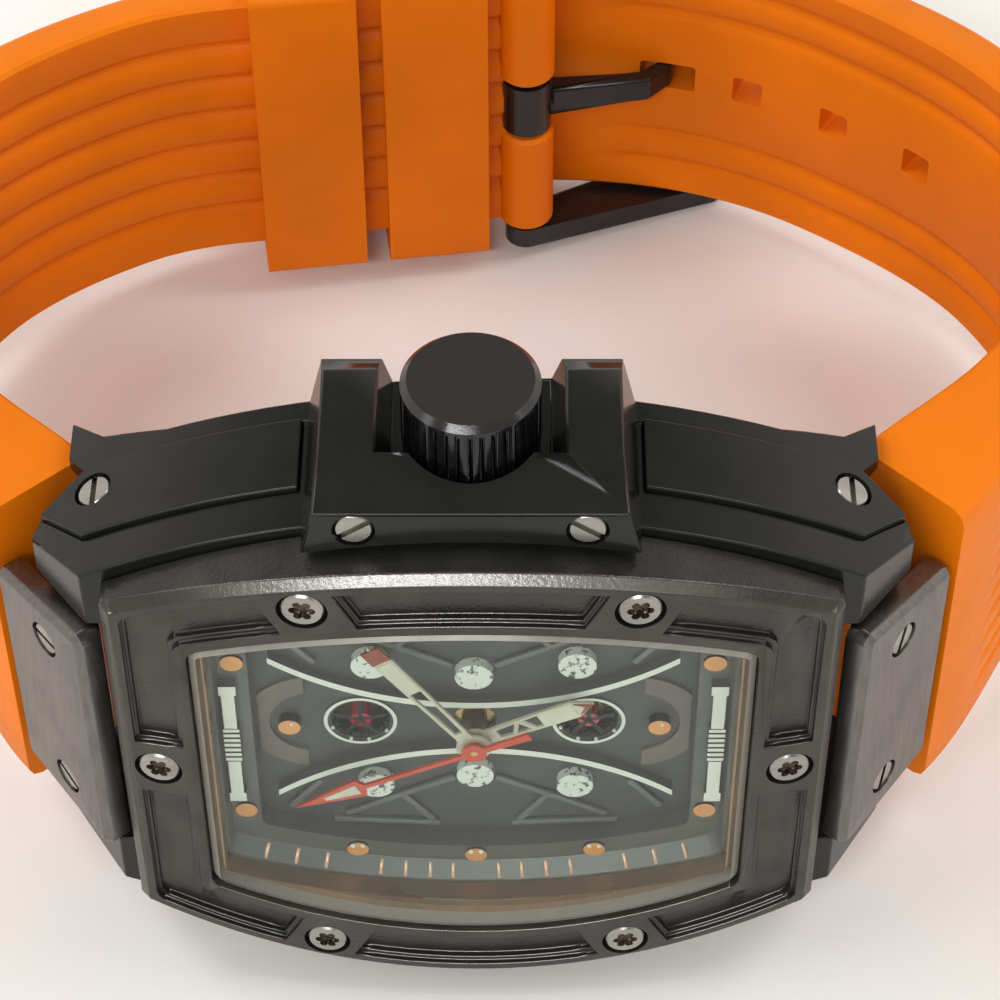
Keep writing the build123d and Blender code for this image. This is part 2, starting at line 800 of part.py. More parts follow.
def speck_places():
    """Centres of the six light discs."""
    corners = [(sx * speck_side_x, sy * speck_side_y) for sx in (-1, 1) for sy in (-1, 1)]
    return corners + [(0, -speck_mid_y), (0, speck_mid_y)]


def make_dial_discs():
    return group([raised(Pos(x, y) * Circle(speck_radius), speck_height) for x, y in speck_places()])


def make_dial_struts():
    struts = []
    coil_span = strut_coils * strut_coil_pitch
    top = shelf_depth - strut_height
    for sx in (-1, 1):
        face = Pos(sx * strut_x, 0) * Rectangle(strut_width, 2 * strut_half_length)
        for sy in (-1, 1):
            end = Pos(sx * strut_x, sy * strut_half_length)
            face = face + end * Rectangle(strut_head_width, strut_head_length)
        body = slab(face, top, shelf_depth)
        body -= slab(Pos(sx * strut_x, 0) * Rectangle(2 * strut_width, coil_span), top, shelf_depth)
        core = Pos(sx * strut_x, 0) * Rectangle(strut_core_width, coil_span)
        body += slab(core, shelf_depth - strut_core_height, shelf_depth)
        for i in range(strut_coils):
            y = (i - (strut_coils - 1) / 2) * strut_coil_pitch
            turn = Rectangle(2 * strut_coil_radius, strut_coil_width)
            body += slab(Pos(sx * strut_x, y) * turn, top, shelf_depth)
        struts.append(body)
    return group(struts)


def make_dial_crescents():
    pieces = []
    for sx in (-1, 1):
        face = Pos(sx * crescent_x, 0) * (Circle(crescent_outer) - Circle(crescent_inner))
        window = Rectangle(2 * crescent_outer, 2 * crescent_outer)
        window = Pos(sx * (crescent_open_x + crescent_outer), 0) * window
        face = face & window
        face = face & dial_outline(shelf_half_length - soft_gap, shelf_half_width)
        pieces.append(raised(face, crescent_height))
    return group(pieces)


def edge_marker_places():
    """Centres of the dots let into the chapter ring."""
    places = [(sx * marker_corner_x, sy * marker_corner_y) for sx in (-1, 1) for sy in (-1, 1)]
    places += [(sx * marker_row_x, sy * marker_row_y) for sx in (-1, 1) for sy in (-1, 1)]
    return places + [(0, -marker_mid_y), (0, marker_mid_y)]


def make_hour_markers():
    markers = [raised(Pos(sx * marker_x, 0) * Circle(marker_radius), marker_height) for sx in (-1, 1)]
    for x, y in edge_marker_places():
        markers.append(disc(x, y, marker_radius, shelf_depth - marker_proud, dial_depth))
    return group(markers)


# Hands, all carried at the dial's centre
hour_angle = 27.5
minute_angle = 123.1
seconds_angle = 206.4
hand_thickness = 0.18
hour_hand_rise = 1.65
hour_hand_depth = dial_depth - hour_hand_rise
hand_step = 0.45
minute_hand_depth = hour_hand_depth - hand_step
seconds_hand_depth = minute_hand_depth - hand_step
hour_hand_length = 7.8
minute_hand_length = 11.0
seconds_hand_length = 11.9
seconds_hand_tail = 3.6
hand_rail = 0.22
hour_hand_width = 1.5
minute_hand_width = 1.2
hand_window_start = 1.6
hand_root_share = 0.75
hand_window_share = 0.58
hand_shoulder_share = 0.84
hand_boss_radius = 1.05
seconds_boss_radius = 0.75
seconds_hand_width = 0.3
seconds_tail_width = 0.6
seconds_arrow_start = 7.2
seconds_arrow_width = 1.6
arbor_radius = 0.2
cannon_outer = 0.45
cannon_inner = 0.26
pipe_outer = 0.75
pipe_inner = 0.51


def skeleton_hand(length, width, hub_hole, depth, angle):
    """An open baton hand with a solid lume field and a pointed tip."""
    half = width / 2
    root = half * hand_root_share
    shoulder = length * hand_shoulder_share
    outline = [(0, root), (shoulder, half), (length, 0), (shoulder, -half), (0, -root)]
    face = make_face(Polyline(*outline, close=True)) + Circle(hand_boss_radius)
    inner = half - hand_rail
    inner_root = root - hand_rail
    end = length * hand_window_share
    start = hand_window_start
    window = [(start, inner_root), (end, inner), (end, -inner), (start, -inner_root)]
    face = face - make_face(Polyline(*window, close=True)) - Circle(hub_hole + seat_gap)
    return slab(Rot(0, 0, angle) * face, depth, depth + hand_thickness)


def make_hour_hand():
    return skeleton_hand(hour_hand_length, hour_hand_width, pipe_outer, hour_hand_depth, hour_angle)


def make_minute_hand():
    length = minute_hand_length
    return skeleton_hand(length, minute_hand_width, cannon_outer, minute_hand_depth, minute_angle)


def make_seconds_hand():
    half = seconds_hand_width / 2
    tail = seconds_tail_width / 2
    head = seconds_arrow_start + seconds_hand_width
    barb = seconds_arrow_width / 2
    upper = [(-seconds_hand_tail, tail), (0, half), (seconds_arrow_start, half), (head, barb)]
    lower = [(x, -y) for x, y in reversed(upper)]
    face = make_face(Polyline(*upper, (seconds_hand_length, 0), *lower, close=True))
    face = face + Circle(seconds_boss_radius) - Circle(arbor_radius + seat_gap)
    return slab(Rot(0, 0, seconds_angle) * face, seconds_hand_depth, seconds_hand_depth + hand_thickness)


# Quartz movement behind the dial: plate, bridge, wheels, motor, cell and circuit
main_plate_drop = 1.3
main_plate_depth = dial_depth + main_plate_drop
main_plate_thickness = 1.1
plate_back = main_plate_depth + main_plate_thickness
main_plate_half_x = 13.4
main_plate_half_y = 11.6
main_plate_corner = 3.0
jewel_seat = 0.3
stem_block_half = 1.2
stem_block_y = 9.4
stem_block_length = 2.0
bridge_drop = 2.1
bridge_depth = plate_back + bridge_drop
bridge_thickness = 0.7
bridge_x = 1.4
bridge_y = -0.8
bridge_length = 11.6
bridge_width = 11.2
bridge_corner = 1.4
pillar_radius = 0.6
pillar_inset = 0.8
wheel_thickness = 0.16
wheel_step = 0.48
pivot_radius = 0.15
tooth_gap = 0.03
tooth_tip_share = 0.18
tooth_root_share = 0.42
web_outer_share = 0.8
web_inner_share = 0.4
spoke_share = 0.2
third_distance = 3.0
third_angle = 205.0
idler_distance = 3.4
idler_angle = -35.0
rotor_distance = 2.64
rotor_angle = -75.0
motion_distance = 2.9
motion_angle = 60.0
centre_teeth = 64
third_teeth = 60
seconds_teeth = 30
idler_teeth = 60
small_pinion_teeth = 8
idler_pinion_teeth = 10
rotor_pinion_teeth = 6
cannon_teeth = 12
motion_teeth = 36
motion_pinion_teeth = 10
hour_teeth = 40
battery_radius = 3.4
battery_height = 2.6
battery_bevel = 0.2
battery_x = -9.3
battery_y = -7.3
battery_lift = 0.2
clamp_thickness = 0.2
clamp_width = 1.6
clamp_leg = 0.4
clamp_gap = 0.15
coil_radius = 0.95
coil_flange_radius = 1.15
coil_flange_thickness = 0.3
coil_half_length = 3.3
coil_x = 7.6
coil_y = -8.8
coil_drop = 1.25
coil_depth = plate_back + coil_drop
stator_thickness = 0.5
stator_width = 0.8
rotor_radius = 0.7
rotor_height = 0.6
rotor_lift = 0.5
board_x = -9.0
board_y = 5.4
board_length = 7.6
board_width = 6.0
board_corner = 0.7
board_thickness = 0.35
board_lift = 0.5
chip_size = 2.2
chip_height = 0.5
foot_length = 3.0
foot_width = 0.9


def polar(distance, angle):
    """A point at a distance and angle from the dial's centre."""
    return (distance * math.cos(math.radians(angle)), distance * math.sin(math.radians(angle)))


def pitch_radius(distance, teeth, mate):
    """Pitch radius of a wheel that meshes with another across a centre distance."""
    return distance * teeth / (teeth + mate)


centre_wheel_depth = plate_back + wheel_thickness
seconds_wheel_depth = centre_wheel_depth + wheel_step
third_wheel_depth = seconds_wheel_depth + wheel_step
idler_wheel_depth = third_wheel_depth + wheel_step
rotor_depth = plate_back + rotor_lift
motion_wheel_depth = main_plate_depth - wheel_step
hour_wheel_depth = dial_depth + dial_thickness + running_clearance
bridge_back = bridge_depth + bridge_thickness
third_centre = polar(third_distance, third_angle)
idler_centre = polar(idler_distance, idler_angle)
rotor_offset = polar(rotor_distance, rotor_angle)
rotor_centre = (idler_centre[0] + rotor_offset[0], idler_centre[1] + rotor_offset[1])
motion_centre = polar(motion_distance, motion_angle)
pivots = [third_centre, idler_centre, rotor_centre]


def gear(centre, radius, teeth, depth_from, depth_to, bore, spokes):
    """A toothed wheel with its tips just inside the pitch circle, a bore and open spokes."""
    tip = radius - tooth_gap
    root = tip - math.pi * radius / teeth / 2
    turn = 360 / teeth
    points = []
    for i in range(teeth):
        points.append(polar(tip, turn * (i - tooth_tip_share)))
        points.append(polar(tip, turn * (i + tooth_tip_share)))
        points.append(polar(root, turn * (i + tooth_root_share)))
        points.append(polar(root, turn * (i + 1 - tooth_root_share)))
    face = make_face(Polyline(*points, close=True))
    if spokes:
        web = Circle(root * web_outer_share) - Circle(root * web_inner_share)
        for i in range(spokes):
            web = web - Rot(0, 0, 360 / spokes * i) * Pos(root / 2, 0) * Rectangle(root, root * spoke_share)
        face = face - web
    if bore:
        face = face - Circle(bore)
    return slab(Pos(*centre) * face, depth_from, depth_to)


def pivot(centre):
    """The thin staff that runs in the plate and the bridge."""
    return disc(*centre, pivot_radius, main_plate_depth, bridge_back)


def rounded_plate(x, y, length, width, corner):
    """A flat rounded rectangle seen from the front."""
    return Pos(x, y) * fillet(Rectangle(length, width).vertices(), corner)


def make_main_plate():
    plate = rounded_plate(0, 0, 2 * main_plate_half_x, 2 * main_plate_half_y, main_plate_corner)
    body = slab(plate, main_plate_depth, plate_back)
    block = Pos(0, stem_block_y + stem_block_length / 2) * Rectangle(2 * stem_block_half, stem_block_length)
    body += slab(block, plate_back, crown_depth + stem_block_half)
    body -= along_crown(extrude(Circle(crown_stem_radius + running_clearance), amount=overrun), 0)
    body -= disc(0, 0, cannon_outer + running_clearance, 0, overrun)
    for x, y in pivots + [motion_centre]:
        body -= disc(x, y, pivot_radius + running_clearance, 0, overrun)
    for sx in (-1, 1):
        body -= disc(sx * ring_x, 0, jewel_radius + seat_gap, 0, main_plate_depth + jewel_seat)
    return body


def make_train_bridge():
    plate = rounded_plate(bridge_x, bridge_y, bridge_length, bridge_width, bridge_corner)
    body = slab(plate, bridge_depth, bridge_back)
    for sx in (-1, 1):
        for sy in (-1, 1):
            x = bridge_x + sx * (bridge_length / 2 - pillar_inset)
            y = bridge_y + sy * (bridge_width / 2 - pillar_inset)
            body += disc(x, y, pillar_radius, plate_back, bridge_depth)
    for x, y in pivots + [(0, 0)]:
        body -= disc(x, y, pivot_radius + running_clearance, 0, overrun)
    return body


def make_centre_wheel():
    radius = pitch_radius(third_distance, centre_teeth, small_pinion_teeth)
    wheel_back = centre_wheel_depth + wheel_thickness
    body = gear((0, 0), radius, centre_teeth, centre_wheel_depth, wheel_back, cannon_inner, 4)
    body += ring(0, 0, cannon_outer, cannon_inner, minute_hand_depth, wheel_back)
    pinion = pitch_radius(motion_distance, cannon_teeth, motion_teeth)
    top = motion_wheel_depth
    return body + gear((0, 0), pinion, cannon_teeth, top, top + 2 * wheel_thickness, cannon_inner, 0)


def make_seconds_wheel():
    radius = pitch_radius(idler_distance, seconds_teeth, idler_pinion_teeth)
    wheel_back = seconds_wheel_depth + wheel_thickness
    body = gear((0, 0), radius, seconds_teeth, seconds_wheel_depth, wheel_back, 0, 3)
    pinion = pitch_radius(third_distance, small_pinion_teeth, third_teeth)
    end = third_wheel_depth + wheel_thickness
    body += gear((0, 0), pinion, small_pinion_teeth, seconds_wheel_depth, end, 0, 0)
    body += disc(0, 0, arbor_radius, seconds_hand_depth, wheel_back)
    return body + disc(0, 0, pivot_radius, seconds_wheel_depth, bridge_back)


def make_third_wheel():
    radius = pitch_radius(third_distance, third_teeth, small_pinion_teeth)
    wheel_back = third_wheel_depth + wheel_thickness
    body = gear(third_centre, radius, third_teeth, third_wheel_depth, wheel_back, 0, 4)
    pinion = pitch_radius(third_distance, small_pinion_teeth, centre_teeth)
    top = plate_back + running_clearance
    body += gear(third_centre, pinion, small_pinion_teeth, top, wheel_back, 0, 0)
    return body + pivot(third_centre)


def make_intermediate_wheel():
    radius = pitch_radius(rotor_distance, idler_teeth, rotor_pinion_teeth)
    wheel_back = idler_wheel_depth + wheel_thickness
    body = gear(idler_centre, radius, idler_teeth, idler_wheel_depth, wheel_back, 0, 4)
    pinion = pitch_radius(idler_distance, idler_pinion_teeth, seconds_teeth)
    top = centre_wheel_depth + 2 * wheel_thickness
    body += gear(idler_centre, pinion, idler_pinion_teeth, top, wheel_back, 0, 0)
    return body + pivot(idler_centre)


def make_rotor():
    pinion = pitch_radius(rotor_distance, rotor_pinion_teeth, idler_teeth)
    end = idler_wheel_depth + wheel_thickness
    body = disc(*rotor_centre, rotor_radius, rotor_depth, rotor_depth + rotor_height)
    body += gear(rotor_centre, pinion, rotor_pinion_teeth, rotor_depth, end, 0, 0)
    return body + pivot(rotor_centre)


def make_minute_work_wheel():
    radius = pitch_radius(motion_distance, motion_teeth, cannon_teeth)
    wheel_back = motion_wheel_depth + wheel_thickness
    body = gear(motion_centre, radius, motion_teeth, motion_wheel_depth, wheel_back, 0, 4)
    pinion = pitch_radius(motion_distance, motion_pinion_teeth, hour_teeth)
    body += gear(motion_centre, pinion, motion_pinion_teeth, hour_wheel_depth, wheel_back, 0, 0)
    return body + disc(*motion_centre, pivot_radius, hour_wheel_depth, plate_back)


def make_hour_wheel():
    radius = pitch_radius(motion_distance, hour_teeth, motion_pinion_teeth)
    wheel_back = hour_wheel_depth + wheel_thickness
    body = gear((0, 0), radius, hour_teeth, hour_wheel_depth, wheel_back, pipe_inner, 0)
    return body + ring(0, 0, pipe_outer, pipe_inner, hour_hand_depth, wheel_back)


def make_battery():
    top = plate_back + battery_lift
    cell = disc(battery_x, battery_y, battery_radius, top, top + battery_height)
    return chamfer(cell.edges().filter_by(GeomType.CIRCLE), battery_bevel)


def make_battery_clamp():
    top = plate_back + battery_lift + battery_height
    reach = battery_radius + clamp_gap + clamp_leg / 2
    bar = Pos(battery_x, battery_y) * Rectangle(2 * reach + clamp_leg, clamp_width)
    body = slab(bar, top, top + clamp_thickness)
    for sx in (-1, 1):
        leg = Pos(battery_x + sx * reach, battery_y) * Rectangle(clamp_leg, clamp_width)
        body += slab(leg, plate_back, top + clamp_thickness)
    return body


def make_coil():
    core = Pos(coil_x, coil_y, -coil_depth) * Rot(0, 90, 0)
    body = core * Cylinder(coil_radius, 2 * coil_half_length)
    for sx in (-1, 1):
        end = core * Pos(0, 0, sx * coil_half_length)
        body += end * Cylinder(coil_flange_radius, coil_flange_thickness)
    return body


def make_stator():
    x, y = rotor_centre
    reach = rotor_radius + stator_width / 2
    foot = coil_half_length + coil_flange_thickness + stator_width / 2
    near = Polyline((x, y - reach), (coil_x - foot, coil_y + coil_radius), (coil_x - foot, coil_y))
    far = Polyline((x + reach, y + rotor_radius), (coil_x, y + rotor_radius),
                   (coil_x + foot, coil_y + 2 * coil_radius), (coil_x + foot, coil_y))
    face = Pos(x, y) * Circle(rotor_radius + stator_width)
    for path in (near, far):
        face = face + trace(path, stator_width)
    face = face - Pos(x, y) * Circle(rotor_radius + 2 * running_clearance)
    body = slab(face, rotor_depth, rotor_depth + stator_thickness)
    for sx in (-1, 1):
        post = Pos(coil_x + sx * foot, coil_y) * Rectangle(stator_width, coil_radius)
        body += slab(post, plate_back, coil_depth + coil_radius)
    return body


def make_circuit_board():
    top = plate_back + board_lift
    board = rounded_plate(board_x, board_y, board_length, board_width, board_corner)
    body = slab(board, top, top + board_thickness)
    chip = Pos(board_x, board_y) * Rectangle(chip_size, chip_size)
    body += slab(chip, top, top + board_thickness + chip_height)
    for sy in (-1, 1):
        foot = Pos(board_x, board_y + sy * board_width / 3) * Rectangle(foot_length, foot_width)
        body += slab(foot, plate_back, top)
    return body


def make_movement_holder():
    plate = rounded_plate(0, 0, 2 * (main_plate_half_x + seat_gap), 2 * (main_plate_half_y + seat_gap),
                          main_plate_corner)
    top = dial_depth + dial_thickness
    bottom = case_back_depth - soft_gap
    body = slab(cavity_outline(-soft_gap), top, bottom) - slab(plate, top, bottom)
    return body - along_crown(extrude(Circle(crown_tube_radius + soft_gap), amount=overrun), 0)


# Rubber strap: a buckle half at twelve and a hole half at six, closed behind the case
loop_swell = 20.05
loop_half_width = bezel_half_length + loop_swell
loop_depth = 67.0
hole_outer_shares = [(0.690, 0.152), (0.838, 0.293), (0.968, 0.448), (1.0, 0.575), (0.892, 0.770),
                     (0.616, 0.916), (0.414, 0.974), (0.172, 1.001), (-0.025, 0.997)]
hole_inner_shares = [(0.552, 0.233), (0.751, 0.352), (0.894, 0.492), (0.919, 0.597), (0.828, 0.737),
                     (0.569, 0.878), (0.394, 0.930), (0.185, 0.954), (-0.025, 0.949)]
buckle_outer_shares = [(0.690, 0.152), (0.823, 0.284), (0.958, 0.448), (0.980, 0.560), (0.887, 0.740),
                       (0.626, 0.866), (0.429, 0.903)]
buckle_inner_shares = [(0.552, 0.224), (0.714, 0.319), (0.877, 0.466), (0.904, 0.575), (0.833, 0.703),
                       (0.589, 0.824), (0.419, 0.855)]
strap_start_heading = 48.0
strap_slot_play = 0.2
strap_root_half = strap_slot_half - strap_slot_play
strap_root_x = case_wall_x + soft_gap
strap_root_step = 0.5
strap_root_depth = case_front_depth + strap_root_step
strap_root_overhang = 1.0
strap_root_back_depth = back_rim_depth + strap_root_overhang
strap_shoulder_x = ear_back_x + strap_slot_play
strap_shoulder_step = 0.3
strap_shoulder_depth = case_back_depth + strap_shoulder_step
strap_neck_x = ear_knee_x + soft_gap
strap_neck_depth = ear_knee_depth + soft_gap
strap_lip_reach = 1.85
strap_lip_x = strap_neck_x + strap_lip_reach
strap_lip_drop = 1.3
strap_lip_depth = strap_neck_depth + strap_lip_drop
strap_bar_step = 1.0
strap_bar_x = ear_front_x + strap_bar_step
strap_bar_depth = 9.3
strap_bar_radius = 0.7
strap_bar_inset = 0.35
strap_bar_half = recess_wall_y(strap_bar_x) - strap_bar_inset
strap_taper_start = 14.0
strap_taper_end = 50.0
groove_width = 0.75
groove_pitch = 2.1
groove_depth = 0.45
groove_count = 9
tail_end_x = -22.5
buckle_bar_x = 3.2
buckle_bar_inset = 6.4
buckle_bar_depth = loop_depth - buckle_bar_inset
buckle_bar_radius = 0.75
buckle_tube_radius = 2.0
tongue_gap_half = 2.4
hole_first_run = 14.4
hole_pitch = 7.1
hole_count = 4
hole_half = 1.1
used_hole_half = 2.0
back_inner_inset = 7.3
back_inner_depth = loop_depth - back_inner_inset


def loop_points(shares, sign):
    """Points of a loop curve from its shares of the loop's half width and depth."""
    return [side(sign * loop_half_width * a, loop_depth * b) for a, b in shares]


def slope_heading(angle, sign):
    """A direction in the side view that leaves the case and falls at an angle."""
    return (sign * math.cos(math.radians(angle)), -math.sin(math.radians(angle)))


def pushed(points, push):
    """The same points moved square to the curve."""
    moved = []
    for i, (x, z) in enumerate(points):
        before = points[max(i - 1, 0)]
        after = points[min(i + 1, len(points) - 1)]
        length = math.hypot(after[0] - before[0], after[1] - before[1])
        across = push * (after[1] - before[1]) / length
        along = push * (after[0] - before[0]) / length
        moved.append((x + across, z - along))
    return moved


def width_taper():
    """The room that the strap's width fills: wide at the case, narrower at the back."""
    half = [(strap_half_width_case, 0), (strap_half_width_case, -strap_taper_start),
            (strap_half_width_back, -strap_taper_end), (strap_half_width_back, -2 * loop_depth)]
    other = [(-y, z) for y, z in reversed(half)]
    face = make_face(Polyline(*half, *other, close=True))
    return extrude(Plane.YZ * face, amount=2 * loop_half_width, both=True)


def back_heading(sign):
    """The direction of the back stretch for a half that comes round from one side."""
    slope = math.radians(back_stretch_slope)
    return (-sign * math.cos(slope), sign * math.sin(slope))


def along_back(point, x):
    """Where a line along the back stretch through a point reaches x."""
    return (x, point[1] + (point[0] - x) * math.tan(math.radians(back_stretch_slope)))


def outer_curve(outer, sign):
    """The strap's outer edge in the side view."""
    return Spline(*outer, tangents=[slope_heading(strap_start_heading, sign), back_heading(sign)])


def strap_face(outer, inner, end_x, sign):
    """The side view of one strap half without its root."""
    back = back_heading(sign)
    away = slope_heading(strap_start_heading, sign)
    outer_end = along_back(outer[-1], end_x)
    inner_end = along_back(inner[-1], end_x)
    neck = [(strap_shoulder_x, strap_shoulder_depth), (strap_neck_x, strap_neck_depth),
            (strap_lip_x, strap_lip_depth)]
    inside = Spline(*reversed(inner), tangents=[(-back[0], -back[1]), (-away[0], -away[1])])
    edges = [outer_curve(outer, sign), Polyline(outer[-1], outer_end, inner_end, inner[-1]), inside,
             Polyline(inner[0], *[side(sign * x, depth) for x, depth in neck], outer[0])]
    return make_face(edges)


def under_plate(along):
    """A point of the side view just under the end plate."""
    place = plate_place(along, 0, end_plate_thickness + running_clearance).position
    return (place.X, -place.Z)


def strap_root():
    """The narrow end at six that sits between the case ears under the end plate."""
    points = [(strap_root_x, strap_root_back_depth), (strap_root_x, strap_root_depth),
              under_plate(soft_gap), under_plate(end_plate_length), (strap_neck_x, strap_root_back_depth)]
    return outline_prism(points, -strap_root_half, strap_root_half)


def root_cuts():
    """Holes through the root for the strap bar and the end plate's screws."""
    bar = Rot(90, 0, 0) * Cylinder(strap_bar_radius + seat_gap, 2 * strap_bar_half + overrun)
    shank_hole = Cylinder(slotted_shank + seat_gap, 2 * (slotted_head + slotted_length + soft_gap))
    cuts = [place * shank_hole for place in end_screw_places()]
    return cuts + [Pos(strap_bar_x, 0, -strap_bar_depth) * bar]


def dressed_strap(face, outer, sign):
    """A strap half with its taper, root and lengthwise grooves."""
    body = prism(face, -overrun, overrun) & width_taper()
    run = outer[1:]
    floor = pushed(run, -sign * groove_depth)
    lift = pushed(run, sign * groove_depth)
    edges = [Spline(*lift), Line(lift[-1], floor[-1]), Spline(*reversed(floor)), Line(floor[0], lift[0])]
    band = make_face(edges)
    for i in range(groove_count):
        y = (i - (groove_count - 1) / 2) * groove_pitch
        body -= prism(band, y - groove_width / 2, y + groove_width / 2)
    root = strap_root()
    body += root if sign > 0 else mirrored(root)
    for cut in root_cuts():
        body -= cut if sign > 0 else mirrored(cut)
    return body


def make_strap_six():
    outer = loop_points(hole_outer_shares, 1)
    inner = loop_points(hole_inner_shares, 1)
    body = dressed_strap(strap_face(outer, inner, tail_end_x, 1), outer, 1)
    curve = outer_curve(outer, 1)
    for i in range(hole_count):
        share = 1 - (hole_first_run + i * hole_pitch) / curve.length
        spot = curve @ share
        run = curve % share
        half = hole_half if i else used_hole_half
        turn = math.degrees(math.atan2(run.Y, run.X))
        hole = Box(2 * half, 2 * hole_half, 3 * strap_back_thickness)
        body -= Pos(spot.X, 0, spot.Y) * Rot(0, -turn, 0) * hole
    return body


def bar_roll(radius, half):
    """A cylinder along the buckle bar."""
    return Pos(buckle_bar_x, 0, -buckle_bar_depth) * Rot(90, 0, 0) * Cylinder(radius, 2 * half)


def make_strap_twelve():
    outer = loop_points(buckle_outer_shares, -1)
    inner = loop_points(buckle_inner_shares, -1)
    body = dressed_strap(strap_face(outer, inner, buckle_bar_x, -1), outer, -1)
    body += bar_roll(buckle_tube_radius, strap_half_width_back)
    body -= bar_roll(buckle_bar_radius + seat_gap, overrun)
    gap_start = buckle_bar_x - buckle_tube_radius - hub_radius
    gap = Box(overrun, 2 * tongue_gap_half, 4 * buckle_tube_radius)
    return body - Pos(gap_start + overrun / 2, 0, -buckle_bar_depth) * gap


# Pin buckle and the two keepers
hub_radius = 1.75
hub_gap = 0.3
frame_play = 0.35
frame_inner_half = strap_half_width_back + frame_play
frame_arm_width = 1.65
frame_outer_half = frame_inner_half + frame_arm_width
frame_hub_radius = 1.5
frame_end_radius = 2.3
cross_bar_reach = 12.8
cross_bar_x = buckle_bar_x + cross_bar_reach
cross_bar_drop = 6.5
cross_bar_depth = buckle_bar_depth + cross_bar_drop
cross_bar_radius = 1.2
tongue_width = 2.0
tongue_thickness = 1.1
tongue_path_shares = [(0, 0), (0.656, 0.215), (0.766, 0.431), (0.852, 1.308), (1.125, 1.369)]
keeper_length = 7.2
keeper_wall = 1.5
keeper_play = 0.3
keeper_corner = 1.0
keeper_fixed_along = -3.3
keeper_free_along = -12.2
layers_height = 7.3


def on_back_stretch(along):
    """A place on the strap's inner face at the back, its z towards the wrist."""
    return Pos(0, 0, -back_inner_depth) * Rot(0, back_stretch_slope, 0) * Pos(along, 0, 0)


def make_keeper(along):
    width = 2 * (strap_half_width_back + keeper_play)
    height = layers_height + 2 * keeper_play
    outer = Rectangle(width + 2 * keeper_wall, height + 2 * keeper_wall)
    face = fillet(outer.vertices(), keeper_corner) - Rectangle(width, height)
    band = extrude(Plane.YZ * face, amount=keeper_length / 2, both=True)
    return on_back_stretch(along) * Pos(0, 0, -layers_height / 2) * band


def make_buckle_frame():
    hub = Pos(*side(buckle_bar_x, buckle_bar_depth)) * Circle(frame_hub_radius)
    end_depth = cross_bar_depth + cross_bar_radius - frame_end_radius
    end = Pos(*side(cross_bar_x, end_depth)) * Circle(frame_end_radius)
    arm = make_hull((hub + end).edges())
    body = prism(arm, frame_inner_half, frame_outer_half) + prism(arm, -frame_outer_half, -frame_inner_half)
    cross = Rot(90, 0, 0) * Cylinder(cross_bar_radius, 2 * frame_outer_half)
    body += Pos(cross_bar_x, 0, -cross_bar_depth) * cross
    return body - bar_roll(buckle_bar_radius + running_clearance, overrun)


def make_buckle_tongue():
    body = bar_roll(hub_radius, tongue_gap_half - hub_gap)
    ends = []
    for reach, drop in tongue_path_shares:
        ends.append(side(buckle_bar_x + reach * cross_bar_reach, buckle_bar_depth + drop * cross_bar_drop))
    line = Polyline(*ends)
    body += prism(trace(line, tongue_thickness), -tongue_width / 2, tongue_width / 2)
    return body - bar_roll(buckle_bar_radius + running_clearance, overrun)


def make_strap_bar(sign):
    bar = Rot(90, 0, 0) * Cylinder(strap_bar_radius, 2 * strap_bar_half)
    return Pos(sign * strap_bar_x, 0, -strap_bar_depth) * bar


# Resting pose: the watch lies on its nine o'clock side, propped by the buckle frame behind
side_rest = case_half_width + side_plate_proud
frame_back_depth = cross_bar_depth + cross_bar_radius
rest_tilt = math.degrees(math.atan2(side_rest - frame_outer_half, frame_back_depth - case_back_depth))


